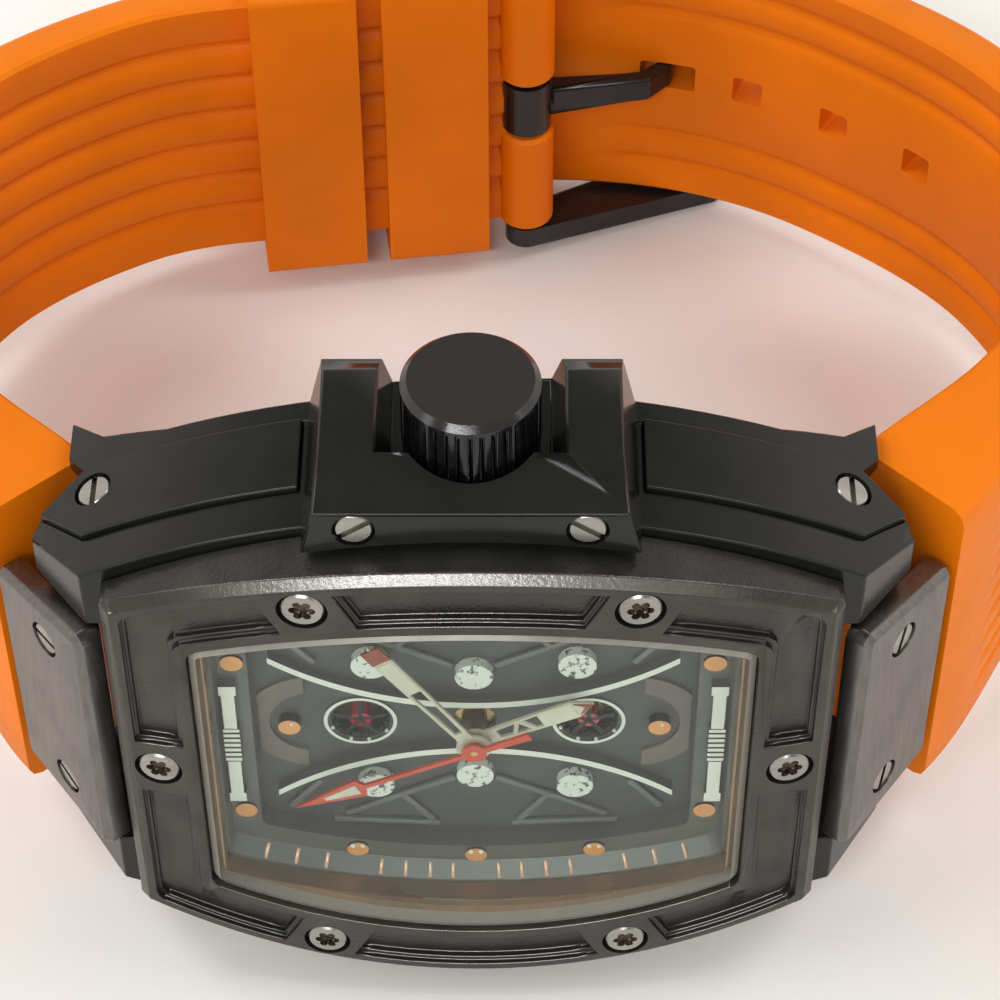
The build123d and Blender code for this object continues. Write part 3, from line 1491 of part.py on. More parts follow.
def make_pieces():
    """Every piece in the dial frame, by node name."""
    side_plates = make_side_plates()
    end_plate = make_end_plate()
    return {
        "bezel": make_bezel(),
        "bezel_screws": make_bezel_screws(),
        "crystal": make_crystal(),
        "crystal_gasket": make_crystal_gasket(),
        "bezel_gasket": make_bezel_gasket(),
        "case_middle": make_case_middle(),
        "case_back": make_case_back(),
        "case_back_gasket": make_case_back_gasket(),
        "case_back_screws": make_case_back_screws(),
        "side_plate_upper_12": side_plates[0],
        "side_plate_upper_6": side_plates[1],
        "side_plate_lower": side_plates[2],
        "side_plate_screws": make_side_plate_screws(),
        "crown_guard": make_crown_guard(),
        "crown_guard_screws": make_crown_guard_screws(),
        "end_plate_12": mirrored(end_plate),
        "end_plate_6": end_plate,
        "end_plate_screws": group(end_plate_screws()),
        "crown": make_crown(),
        "crown_tube": make_crown_tube(),
        "crown_gasket": make_crown_gasket(),
        "setting_stem": make_setting_stem(),
        "chapter_ring": make_chapter_ring(),
        "dial_plate": make_dial_plate(),
        "dial_arcs": make_dial_arcs(),
        "dial_rings": make_dial_rings(),
        "dial_jewels": make_dial_jewels(),
        "dial_discs": make_dial_discs(),
        "dial_struts": make_dial_struts(),
        "dial_crescents": make_dial_crescents(),
        "hour_markers": make_hour_markers(),
        "hour_hand": make_hour_hand(),
        "minute_hand": make_minute_hand(),
        "seconds_hand": make_seconds_hand(),
        "movement_holder": make_movement_holder(),
        "main_plate": make_main_plate(),
        "train_bridge": make_train_bridge(),
        "centre_wheel": make_centre_wheel(),
        "third_wheel": make_third_wheel(),
        "seconds_wheel": make_seconds_wheel(),
        "intermediate_wheel": make_intermediate_wheel(),
        "motor_rotor": make_rotor(),
        "minute_work_wheel": make_minute_work_wheel(),
        "hour_wheel": make_hour_wheel(),
        "battery": make_battery(),
        "battery_clamp": make_battery_clamp(),
        "motor_coil": make_coil(),
        "motor_stator": make_stator(),
        "circuit_board": make_circuit_board(),
        "strap_12": make_strap_twelve(),
        "strap_6": make_strap_six(),
        "strap_bar_12": make_strap_bar(-1),
        "strap_bar_6": make_strap_bar(1),
        "keeper_fixed": make_keeper(keeper_fixed_along),
        "keeper_free": make_keeper(keeper_free_along),
        "buckle_frame": make_buckle_frame(),
        "buckle_bar": bar_roll(buckle_bar_radius, frame_outer_half),
        "buckle_tongue": make_buckle_tongue(),
    }


def rest_placed(pieces):
    """Every piece turned into the resting pose, its box's bottom centre at the origin."""
    turned = {name: Rot(90 - rest_tilt, 0, 0) * shape for name, shape in pieces.items()}
    boxes = [shape.bounding_box() for shape in turned.values()]
    low = [min(value) for value in zip(*[tuple(box.min) for box in boxes])]
    high = [max(value) for value in zip(*[tuple(box.max) for box in boxes])]
    shift = Pos(-(low[0] + high[0]) / 2, -(low[1] + high[1]) / 2, -low[2])
    print("rest tilt", round(rest_tilt, 4), "shift", tuple(round(value, 4) for value in shift.position))
    return {name: shift * shape for name, shape in turned.items()}


os.makedirs("parts", exist_ok=True)
for name, shape in rest_placed(make_pieces()).items():
    export_step(shape, "parts/" + name + ".step")
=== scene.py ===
"""A tonneau wristwatch with a rubber strap, lying on its nine o'clock side."""

import logging
import math
from dataclasses import dataclass, field
from enum import Enum

import bmesh
import bpy
from mathutils import Euler, Matrix, Vector
from mathutils.geometry import interpolate_bezier


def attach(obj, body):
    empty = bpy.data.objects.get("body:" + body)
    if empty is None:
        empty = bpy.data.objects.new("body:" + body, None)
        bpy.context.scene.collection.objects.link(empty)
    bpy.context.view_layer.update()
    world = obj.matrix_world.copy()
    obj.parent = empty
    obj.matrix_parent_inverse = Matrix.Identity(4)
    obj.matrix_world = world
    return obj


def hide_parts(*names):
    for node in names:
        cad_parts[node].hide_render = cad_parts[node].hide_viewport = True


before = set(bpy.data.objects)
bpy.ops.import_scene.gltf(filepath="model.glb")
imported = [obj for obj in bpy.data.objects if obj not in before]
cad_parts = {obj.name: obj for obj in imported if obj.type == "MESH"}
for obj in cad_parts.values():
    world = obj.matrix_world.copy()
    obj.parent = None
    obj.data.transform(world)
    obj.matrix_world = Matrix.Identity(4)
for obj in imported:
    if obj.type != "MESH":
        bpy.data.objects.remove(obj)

Socket = bpy.types.NodeSocket
Vert = bmesh.types.BMVert
Edge = bmesh.types.BMEdge
MM = 0.001
REST_TILT = 6.7364
REST_SHIFT = (-0.4025, -33.7661, 20.922)
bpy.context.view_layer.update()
SHARP_ANGLE = 35.0
ROUNDED_ANGLE = 25.0
FLAT_ANGLE = 0.05
MERGE_DISTANCE = 0.002
BOW_RADIUS = 45.55
BOW_HALF_WIDTH = 18.85

log = logging.getLogger("watch")
logging.basicConfig(level=logging.INFO, format="%(name)s: %(message)s")


def rest_matrix() -> Matrix:
    """The turn and shift from the dial frame, in millimetres, to the resting pose, in metres.

    Returns:
        The matrix that carries a point of the dial frame to the row frame.
    """
    turn = Matrix.Rotation(math.radians(90 - REST_TILT), 4, "X")
    return Matrix.Scale(MM, 4) @ Matrix.Translation(REST_SHIFT) @ turn


def rest_heading(heading: tuple) -> Vector:
    """A direction of the dial frame, turned into the resting pose."""
    return (rest_matrix().to_3x3() @ Vector(heading)).normalized()


def side(x: float, depth: float) -> Vector:
    """A point of the side view: x and the depth behind the bezel crest."""
    return Vector((x, 0.0, -depth))


def around(x: float, reach: float, angle: float, depth: float = 0.0) -> Vector:
    """A point at an angle round a place on the dial's long axis."""
    return Vector((x + reach * math.cos(angle), reach * math.sin(angle), -depth))


class Body(Enum):
    """The moving bodies that new pieces ride on."""

    WATCH = "watch"
    SECONDS = "seconds"
    MINUTES = "minutes"
    HOURS = "hours"
    KEEPER = "free_keeper"
    CROWN = "crown_knob"
    BUCKLE = "buckle"
    TONGUE = "tongue"


class NodeBench:
    """A node tree under construction."""

    def __init__(self, owner: bpy.types.Material | bpy.types.World, output: str) -> None:
        """Starts an empty tree with an output.

        Args:
            owner: What the tree belongs to.
            output: The output node's type.
        """
        owner.use_nodes = True
        self.owner = owner
        self.tree = owner.node_tree
        self.tree.nodes.clear()
        self.output = self.add(output)

    def add(self, kind: str, **settings) -> bpy.types.Node:
        """Adds a node.

        Args:
            kind: The node's type.
            settings: Properties to set on it.

        Returns:
            The new node.
        """
        node = self.tree.nodes.new(kind)
        for key, value in settings.items():
            setattr(node, key, value)
        return node

    def link(self, source: Socket, target: Socket) -> None:
        """Joins two sockets."""
        self.tree.links.new(source, target)

    def place(self, stretch: tuple[float, float, float] = (1.0, 1.0, 1.0)) -> Socket:
        """Object coordinates, scaled along each axis.

        Args:
            stretch: The scale along x, y and z.

        Returns:
            The vector socket.
        """
        coordinate = self.add("ShaderNodeTexCoord")
        mapping = self.add("ShaderNodeMapping")
        mapping.inputs["Scale"].default_value = stretch
        mapping.inputs["Rotation"].default_value = (math.radians(REST_TILT), 0.0, 0.0)
        self.link(coordinate.outputs["Object"], mapping.inputs["Vector"])
        return mapping.outputs["Vector"]

    def noise(self, vector: Socket, scale: float, detail: float = 3.0) -> Socket:
        """A noise pattern.

        Args:
            vector: Where the pattern is read.
            scale: Its scale, per metre.
            detail: Its octaves.

        Returns:
            The factor socket.
        """
        node = self.add("ShaderNodeTexNoise")
        node.inputs["Scale"].default_value = scale
        node.inputs["Detail"].default_value = detail
        self.link(vector, node.inputs["Vector"])
        return node.outputs["Fac"]

    def ramp(self, factor: Socket, stops: list | tuple) -> Socket:
        """A colour ramp over a factor.

        Args:
            factor: The value to colour.
            stops: Pairs of position and colour.

        Returns:
            The colour socket.
        """
        node = self.add("ShaderNodeValToRGB")
        while len(node.color_ramp.elements) < len(stops):
            node.color_ramp.elements.new(0.5)
        for element, (spot, colour) in zip(node.color_ramp.elements, stops):
            element.position = spot
            element.color = (*colour, 1.0)
        self.link(factor, node.inputs["Fac"])
        return node.outputs["Color"]

    def span(self, factor: Socket, low: float, high: float) -> Socket:
        """Maps a noise pattern's middle half onto a range.

        Args:
            factor: The pattern.
            low: The value at a quarter.
            high: The value at three quarters.

        Returns:
            The mapped value's socket.
        """
        node = self.add("ShaderNodeMapRange")
        for key, value in (("From Min", 0.25), ("From Max", 0.75), ("To Min", low), ("To Max", high)):
            node.inputs[key].default_value = value
        self.link(factor, node.inputs["Value"])
        return node.outputs["Result"]

    def bump(self, height: Socket, strength: float, distance: float) -> Socket:
        """A bump over a height pattern.

        Args:
            height: The height pattern.
            strength: How strongly it shows.
            distance: Its depth in metres.

        Returns:
            The normal socket.
        """
        node = self.add("ShaderNodeBump")
        node.inputs["Strength"].default_value = strength
        node.inputs["Distance"].default_value = distance
        self.link(height, node.inputs["Height"])
        return node.outputs["Normal"]

    def facing(self, heading: tuple) -> Socket:
        """How far the surface faces a direction of the dial frame.

        Args:
            heading: The direction.

        Returns:
            The socket of a value from -1 to 1.
        """
        coordinate = self.add("ShaderNodeTexCoord")
        product = self.add("ShaderNodeVectorMath", operation="DOT_PRODUCT")
        product.inputs[1].default_value = rest_heading(heading)
        self.link(coordinate.outputs["Normal"], product.inputs[0])
        return product.outputs["Value"]

    def skin(self, settings: dict, **sockets: Socket) -> Socket:
        """An opaque surface.

        Args:
            settings: Its uniform values by input name.
            sockets: What feeds its colour, roughness and normal.

        Returns:
            The surface socket.
        """
        shader = self.add("ShaderNodeBsdfPrincipled")
        for key, value in settings.items():
            shader.inputs[key].default_value = value
        names = {"colour": "Base Color", "roughness": "Roughness", "normal": "Normal"}
        for key, socket in sockets.items():
            self.link(socket, shader.inputs[names[key]])
        return shader.outputs["BSDF"]

    def mix(self, share: Socket | float, first: Socket,
            second: Socket) -> Socket:
        """A blend of two surfaces.

        Args:
            share: The second surface's share, a value or a socket.
            first: The surface at nought.
            second: The surface at one.

        Returns:
            The surface socket.
        """
        node = self.add("ShaderNodeMixShader")
        if isinstance(share, float):
            node.inputs["Fac"].default_value = share
        else:
            self.link(share, node.inputs["Fac"])
        self.link(first, node.inputs[1])
        self.link(second, node.inputs[2])
        return node.outputs["Shader"]


def clip(share: float) -> float:
    """A share held between nought and one."""
    return min(1.0, max(0.0, share))


def shade(colour: tuple, factor: float) -> tuple:
    """A colour made lighter or darker."""
    return tuple(min(1.0, channel * factor) for channel in colour)


@dataclass(frozen=True)
class Finish:
    """A finish, named for the part that wears it."""

    name: str

    def make(self) -> bpy.types.Material:
        """Builds the material.

        Returns:
            The material.
        """
        bench = NodeBench(bpy.data.materials.new(self.name), "ShaderNodeOutputMaterial")
        bench.link(self.surface(bench), bench.output.inputs["Surface"])
        return bench.owner

    def surface(self, bench: NodeBench) -> Socket:
        """Lays out the finish's nodes; each finish has its own."""
        raise NotImplementedError


@dataclass(frozen=True)
class Coating(Finish):
    """A coated or painted metal with a fine grain, and a painted highlight: the crest colour where a crest
    faces a set direction.
    """

    colour: tuple
    roughness: float
    metallic: float = 0.0
    grain_scale: float = 9000.0
    grain_depth: float = 0.000008
    grain_strength: float = 0.3
    contrast: float = 0.12
    coat: float = 0.0
    specular: float = 0.5
    # crest: the colour of a painted highlight on faces turned toward the heading below
    crest: tuple | None = None
    crest_highlight_heading: tuple = (0, 0.7, 0.7)

    def surface(self, bench: NodeBench) -> Socket:
        """Lays out a cloudy colour under a fine grain.

        Args:
            bench: The node tree.

        Returns:
            The surface socket.
        """
        place = bench.place()
        cloud = bench.noise(place, 300.0)
        grain = bench.noise(place, self.grain_scale, 2.0)
        low = shade(self.colour, 1 - self.contrast)
        colour = bench.ramp(cloud, [(0.3, low), (0.7, shade(self.colour, 1 + self.contrast))])
        # painted highlight: faces turned toward the heading take the crest colour
        if self.crest:
            share = bench.ramp(bench.facing(self.crest_highlight_heading), [(0.94, (0, 0, 0)), (0.985, (1, 1, 1))])
            blend = bench.add("ShaderNodeMix", data_type="RGBA")
            bench.link(share, blend.inputs[0])
            bench.link(colour, blend.inputs[6])
            blend.inputs[7].default_value = (*self.crest, 1.0)
            colour = blend.outputs[2]
        settings = {"Metallic": self.metallic, "Coat Weight": self.coat, "Coat Roughness": 0.08,
                    "Specular IOR Level": self.specular}
        return bench.skin(settings, colour=colour,
                          roughness=bench.span(cloud, self.roughness * 0.85, self.roughness * 1.15),
                          normal=bench.bump(grain, self.grain_strength, self.grain_depth))


@dataclass(frozen=True)
class Brushed(Finish):
    """A bare metal with fine parallel brush marks."""

    colour: tuple
    roughness: float
    stretch: tuple
    marks: float = 0.25

    def surface(self, bench: NodeBench) -> Socket:
        """Lays out stretched marks over a cloudy roughness.

        Args:
            bench: The node tree.

        Returns:
            The surface socket.
        """
        lines = bench.noise(bench.place(self.stretch), 400.0, 6.0)
        cloud = bench.noise(bench.place(), 250.0)
        tones = [(0.35, shade(self.colour, 1 - self.marks)), (0.65, shade(self.colour, 1 + self.marks))]
        return bench.skin({"Metallic": 1.0}, colour=bench.ramp(lines, tones),
                          roughness=bench.span(cloud, self.roughness * 0.8, self.roughness * 1.2),
                          normal=bench.bump(lines, 0.25, 0.00001))


@dataclass(frozen=True)
class MouldedRubber(Finish):
    """A moulded rubber with a dry skin and faint flow marks."""

    colour: tuple
    roughness: float = 0.45

    def surface(self, bench: NodeBench) -> Socket:
        """Lays out wide flow marks under a fine skin.

        Args:
            bench: The node tree.

        Returns:
            The surface socket.
        """
        place = bench.place()
        cloud = bench.noise(place, 90.0, 4.0)
        skin = bench.noise(place, 2600.0, 4.0)
        tones = [(0.3, shade(self.colour, 0.9)), (0.7, shade(self.colour, 1.08))]
        return bench.skin({"Specular IOR Level": 0.14}, colour=bench.ramp(cloud, tones),
                          roughness=bench.span(skin, self.roughness * 0.85, self.roughness * 1.2),
                          normal=bench.bump(skin, 0.2, 0.00003))


@dataclass(frozen=True)
class ClearGlass(Finish):
    """A clear sheet that lets light through and mirrors what stands before it."""

    tint: tuple
    roughness: float
    ior: float = 1.52

    def surface(self, bench: NodeBench) -> Socket:
        """Lays out a clear sheet whose outer faces alone mirror.

        Args:
            bench: The node tree.

        Returns:
            The surface socket.
        """
        clear = bench.add("ShaderNodeBsdfTransparent")
        gloss = bench.add("ShaderNodeBsdfGlossy")
        fresnel = bench.add("ShaderNodeFresnel")
        fresnel.inputs["IOR"].default_value = self.ior
        film = bench.noise(bench.place(), 120.0, 2.0)
        bench.link(bench.ramp(film, [(0.3, shade(self.tint, 0.97)), (0.7, self.tint)]), clear.inputs["Color"])
        bench.link(bench.span(film, self.roughness, self.roughness * 2), gloss.inputs["Roughness"])
        geometry = bench.add("ShaderNodeNewGeometry")
        outside = bench.add("ShaderNodeMath", operation="SUBTRACT")
        outside.inputs[0].default_value = 1.0
        bench.link(geometry.outputs["Backfacing"], outside.inputs[1])
        mirror = bench.add("ShaderNodeMath", operation="MULTIPLY")
        bench.link(fresnel.outputs["Fac"], mirror.inputs[0])
        bench.link(outside.outputs["Value"], mirror.inputs[1])
        return bench.mix(mirror.outputs["Value"], clear.outputs["BSDF"], gloss.outputs["BSDF"])


@dataclass(frozen=True)
class Speckled(Finish):
    """A light enamel broken up by small dark specks."""

    colour: tuple
    speck: tuple
    scale: float = 2600.0

    def surface(self, bench: NodeBench) -> Socket:
        """Lays out the specks, each a small dent.

        Args:
            bench: The node tree.

        Returns:
            The surface socket.
        """
        spots = bench.noise(bench.place(), self.scale, 3.0)
        return bench.skin({}, colour=bench.ramp(spots, [(0.36, self.speck), (0.44, self.colour)]),
                          roughness=bench.span(spots, 0.25, 0.5), normal=bench.bump(spots, 0.5, 0.00008))


@dataclass(frozen=True)
class PaintedShadeTrim(Finish):
    """A raised trim with painted light: lighter on faces turned toward a set direction, and darker walls as
    painted shade.
    """

    # front: the colour of faces turned toward the heading; wall: the same trim painted darker as shade
    front: tuple
    wall: tuple
    roughness: float = 0.4
    grain_scale: float = 9000.0
    heading: tuple = (0, 0, 1)

    def surface(self, bench: NodeBench) -> Socket:
        """Lays out the painted lit and shaded tones under a fine grain.

        Args:
            bench: The node tree.

        Returns:
            The surface socket.
        """
        grain = bench.noise(bench.place(), self.grain_scale, 2.0)
        # painted shade: the colour goes from the front tone to the darker wall tone as faces turn away from
        # the heading
        tones = [(0.3, self.wall), (0.8, self.front)]
        return bench.skin({}, colour=bench.ramp(bench.facing(self.heading), tones),
                          roughness=bench.span(grain, self.roughness * 0.85, self.roughness * 1.15),
                          normal=bench.bump(grain, 0.3, 0.000008))


@dataclass(frozen=True)
class PaintedBevelHighlight(Finish):
    """The bevelled edge of a crystal with painted light: partly clear, painted pale as a highlight where it
    faces one way, and darker elsewhere as painted shade.
    """

    colour: tuple
    clear_share: float
    edge_shade_factor: float = 0.45
    edge_highlight_heading: tuple = (0, -1, 0)

    def surface(self, bench: NodeBench) -> Socket:
        """Lays out the painted pale highlight surface and lets part of the light through.

        Args:
            bench: The node tree.

        Returns:
            The surface socket.
        """
        cloud = bench.noise(bench.place(), 400.0)
        tones = [(0.15, shade(self.colour, self.edge_shade_factor)), (0.5, self.colour)]
        # painted highlight: pale where the edge faces the heading, with painted shade elsewhere
        painted_edge_light = bench.skin({}, colour=bench.ramp(bench.facing(self.edge_highlight_heading), tones),
                           roughness=bench.span(cloud, 0.15, 0.3))
        return bench.mix(self.clear_share, painted_edge_light, bench.add("ShaderNodeBsdfTransparent").outputs["BSDF"])


@dataclass(frozen=True)
class Tabletop(Finish):
    """A pale, faintly mottled surface."""

    colour: tuple

    def surface(self, bench: NodeBench) -> Socket:
        """Lays out a wide, faint cloud.

        Args:
            bench: The node tree.

        Returns:
            The surface socket.
        """
        cloud = bench.noise(bench.place(), 8.0, 4.0)
        tones = [(0.3, shade(self.colour, 0.985)), (0.7, self.colour)]
        return bench.skin({"Roughness": 0.6}, colour=bench.ramp(cloud, tones))


def stand(name: str, bm: bmesh.types.BMesh) -> bpy.types.Object:
    """Turns a built shape into an object of the scene.

    Args:
        name: The object's name.
        bm: The shape, which is used up.

    Returns:
        The object.
    """
    mesh = bpy.data.meshes.new(name)
    bm.to_mesh(mesh)
    bm.free()
    piece = bpy.data.objects.new(name, mesh)
    bpy.context.scene.collection.objects.link(piece)
    return piece


class Shaper:
    """Builds one piece in the dial frame and sets it down in the resting pose."""

    def __init__(self, name: str) -> None:
        """Starts an empty piece.

        Args:
            name: The piece's name.
        """
        self.name = name
        self.bm = bmesh.new()

    def sweep(self, rings: list[list[Vector]], capped: bool = True) -> list[Vert]:
        """Carries a closed ring of points along a row of stations.

        Args:
            rings: The ring's points at each station, all of one count.
            capped: Whether both ends are closed.

        Returns:
            The vertices of the sweep.
        """
        made = bmesh.ops.create_circle(self.bm, cap_ends=capped, segments=len(rings[0]), radius=1.0)
        current = made["verts"]
        everything = list(current)
        for vert, spot in zip(current, rings[0]):
            vert.co = spot
        edges = list({edge for vert in current for edge in vert.link_edges})
        for ring in rings[1:]:
            grown = bmesh.ops.extrude_edge_only(self.bm, edges=edges)["geom"]
            fresh = {item for item in grown if isinstance(item, Vert)}
            following = []
            for vert in current:
                step = [edge.other_vert(vert) for edge in vert.link_edges if edge.other_vert(vert) in fresh]
                following.append(step[0])
            for vert, spot in zip(following, ring):
                vert.co = spot
            edges = [item for item in grown if isinstance(item, Edge)
                     and item.verts[0] in fresh and item.verts[1] in fresh]
            current = following
            everything += current
        if capped:
            bmesh.ops.contextual_create(self.bm, geom=edges)
        return everything

    def band(self, rings: list[list[Vector]]) -> None:
        """A closed band: one outline after another, the last joined to the first.

        Args:
            rings: The outlines, all of one count.
        """
        verts = self.sweep(rings, capped=False)
        count = len(rings[0])
        bmesh.ops.bridge_loops(self.bm, edges=self.within(verts[:count]) + self.within(verts[-count:]))

    def within(self, verts: list[Vert]) -> list[Edge]:
        """The edges with both ends among the vertices."""
        group = set(verts)
        return [edge for edge in self.bm.edges if edge.verts[0] in group and edge.verts[1] in group]

    def round_off(self, edges: list[Edge], width: float) -> None:
        """Bevels edges in two steps.

        Args:
            edges: The edges.
            width: The bevel's width, or nought for none.
        """
        if width > 0:
            bmesh.ops.bevel(self.bm, geom=edges, offset=width, offset_type="OFFSET", segments=2, profile=0.5,
                            affect="EDGES", material=-1)

    def plate(self, outline: list[tuple[float, float]], top: float, bottom: float,
              bevel: float) -> list[Vert]:
        """A flat plate seen from the front, with a bevelled front edge.

        Args:
            outline: Its outline as pairs of x and y.
            top: The depth of its front.
            bottom: The depth of its back.
            bevel: The width of the bevel round its front.

        Returns:
            The plate's vertices.
        """
        before = set(self.bm.verts)
        rim = bmesh.ops.create_circle(self.bm, cap_ends=True, segments=len(outline), radius=1.0)["verts"]
        for vert, (x, y) in zip(rim, outline):
            vert.co = (x, y, -bottom)
        face = next(iter(rim[0].link_faces))
        front = bmesh.ops.extrude_face_region(self.bm, geom=[face])["geom"]
        raised = [item for item in front if isinstance(item, Vert)]
        bmesh.ops.translate(self.bm, vec=(0, 0, bottom - top), verts=raised)
        self.round_off(self.within(raised), bevel)
        return [vert for vert in self.bm.verts if vert not in before]

    def block(self, centre: Vector, size: tuple, turn: Matrix, bevel: float) -> list[Vert]:
        """A block with softened edges.

        Args:
            centre: Its middle.
            size: Its lengths along x, y and z.
            turn: A turn about its middle.
            bevel: The width of its edge bevels.

        Returns:
            The block's vertices.
        """
        before = set(self.bm.verts)
        made = bmesh.ops.create_cube(self.bm, size=1.0)["verts"]
        bmesh.ops.scale(self.bm, vec=size, verts=made)
        self.round_off(self.within(made), bevel)
        verts = [vert for vert in self.bm.verts if vert not in before]
        bmesh.ops.rotate(self.bm, cent=(0, 0, 0), matrix=turn, verts=verts)
        bmesh.ops.translate(self.bm, vec=centre, verts=verts)
        return verts

    def ball(self, centre: Vector, radius: float, squash: float = 1.0) -> None:
        """A small ball, flattened along the dial's axis.

        Args:
            centre: Its middle.
            radius: Its radius.
            squash: Its height over its width.
        """
        made = bmesh.ops.create_uvsphere(self.bm, u_segments=16, v_segments=10, radius=radius)["verts"]
        bmesh.ops.scale(self.bm, vec=(1, 1, squash), verts=made)
        bmesh.ops.translate(self.bm, vec=centre, verts=made)

    def set_down(self) -> bpy.types.Object:
        """Turns the shape into the resting pose and makes it an object."""
        bmesh.ops.transform(self.bm, matrix=rest_matrix(), verts=self.bm.verts)
        return stand(self.name, self.bm)

    def finish(self, material: bpy.types.Material, body: Body, slot: str, *replaced: str) -> bpy.types.Object:
        """Sets the piece down, gives it its finish and lets it ride on its body.

        Args:
            material: The finish.
            body: The body it rides on.
            slot: The record's slot that the finish belongs to; not used.
            replaced: CAD nodes that it stands for.

        Returns:
            The finished object.
        """
        bmesh.ops.recalc_face_normals(self.bm, faces=self.bm.faces)
        piece = self.set_down()
        mesh = piece.data
        for polygon in mesh.polygons:
            polygon.use_smooth = True
        mesh.set_sharp_from_angle(angle=math.radians(SHARP_ANGLE))
        mesh.materials.append(material)
        if replaced:
            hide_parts(*replaced)
        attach(piece, body.value)
        log.info("%s: %d faces on %s", self.name, len(mesh.polygons), body.value)
        return piece


def softened(node: str, name: str, material: bpy.types.Material, body: Body, width: float = 0.0,
             segments: int = 2, shortest: float = 0.45) -> bpy.types.Object:
    """A copy of a CAD node with rounded edges, which stands for it.

    Args:
        node: The CAD node.
        name: The new piece's name.
        material: Its finish.
        body: The body it rides on.
        width: The width of the rounding in millimetres, or nought for flat faces.
        segments: The steps across the rounding.
        shortest: Edges shorter than this in millimetres stay sharp.

    Returns:
        The new piece.
    """
    bm = bmesh.new()
    bm.from_mesh(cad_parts[node].data)
    bmesh.ops.remove_doubles(bm, verts=bm.verts, dist=MERGE_DISTANCE * MM)
    bmesh.ops.dissolve_limit(bm, angle_limit=math.radians(FLAT_ANGLE), verts=bm.verts, edges=bm.edges)
    weights = bm.edges.layers.float.new("bevel_weight_edge")
    for edge in bm.edges:
        if edge.is_manifold and edge.calc_face_angle() > math.radians(ROUNDED_ANGLE):
            edge.smooth = False
            edge[weights] = 1.0 if edge.calc_length() > shortest * MM else 0.0
    piece = stand(name, bm)
    for polygon in piece.data.polygons:
        polygon.use_smooth = width > 0
    piece.data.materials.clear()
    piece.data.materials.append(material)
    if width > 0:
        bevel = piece.modifiers.new("rounding", "BEVEL")
        bevel.limit_method = "WEIGHT"
        bevel.width = width * MM
        bevel.segments = segments
        bevel.use_clamp_overlap = False
        bevel.harden_normals = True
    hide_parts(node)
    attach(piece, body.value)
    log.info("%s: rounded %s", name, node)
    return piece


def smooth_path(points: list[Vector], first: Vector, last: Vector, count: int) -> list[Vector]:
    """A smooth curve through points, with set directions at both ends.

    Args:
        points: The points it goes through.
        first: Its direction at the start.
        last: Its direction at the end.
        count: The number of points to return.

    Returns:
        Points at even steps along the curve.
    """
    headings = []
    for i, point in enumerate(points):
        if i == 0:
            heading = first.normalized() * (points[1] - point).length
        elif i == len(points) - 1:
            heading = last.normalized() * (point - points[i - 1]).length
        else:
            before = point - points[i - 1]
            after = points[i + 1] - point
            heading = before * after.length / (before.length + after.length)
            heading += after * before.length / (before.length + after.length)
        headings.append(heading)
    dense: list[Vector] = []
    for i in range(len(points) - 1):
        step = (points[i + 1] - points[i]).length
        start_handle = points[i] + headings[i].normalized() * step / 3
        end_handle = points[i + 1] - headings[i + 1].normalized() * step / 3
        dense += interpolate_bezier(points[i], start_handle, end_handle, points[i + 1], 24)[:-1]
    dense.append(points[-1])
    return even_steps(dense, count)


def even_steps(points: list[Vector], count: int) -> list[Vector]:
    """The same line with its points at even steps.

    Args:
        points: The line's points.
        count: The number of points to return.

    Returns:
        The even points.
    """
    runs = [0.0]
    for before, after in zip(points, points[1:]):
        runs.append(runs[-1] + (after - before).length)
    even = []
    at = 0
    for i in range(count):
        want = runs[-1] * i / (count - 1)
        while at < len(points) - 2 and runs[at + 1] < want:
            at += 1
        span = max(runs[at + 1] - runs[at], 1e-9)
        even.append(points[at].lerp(points[at + 1], (want - runs[at]) / span))
    return even


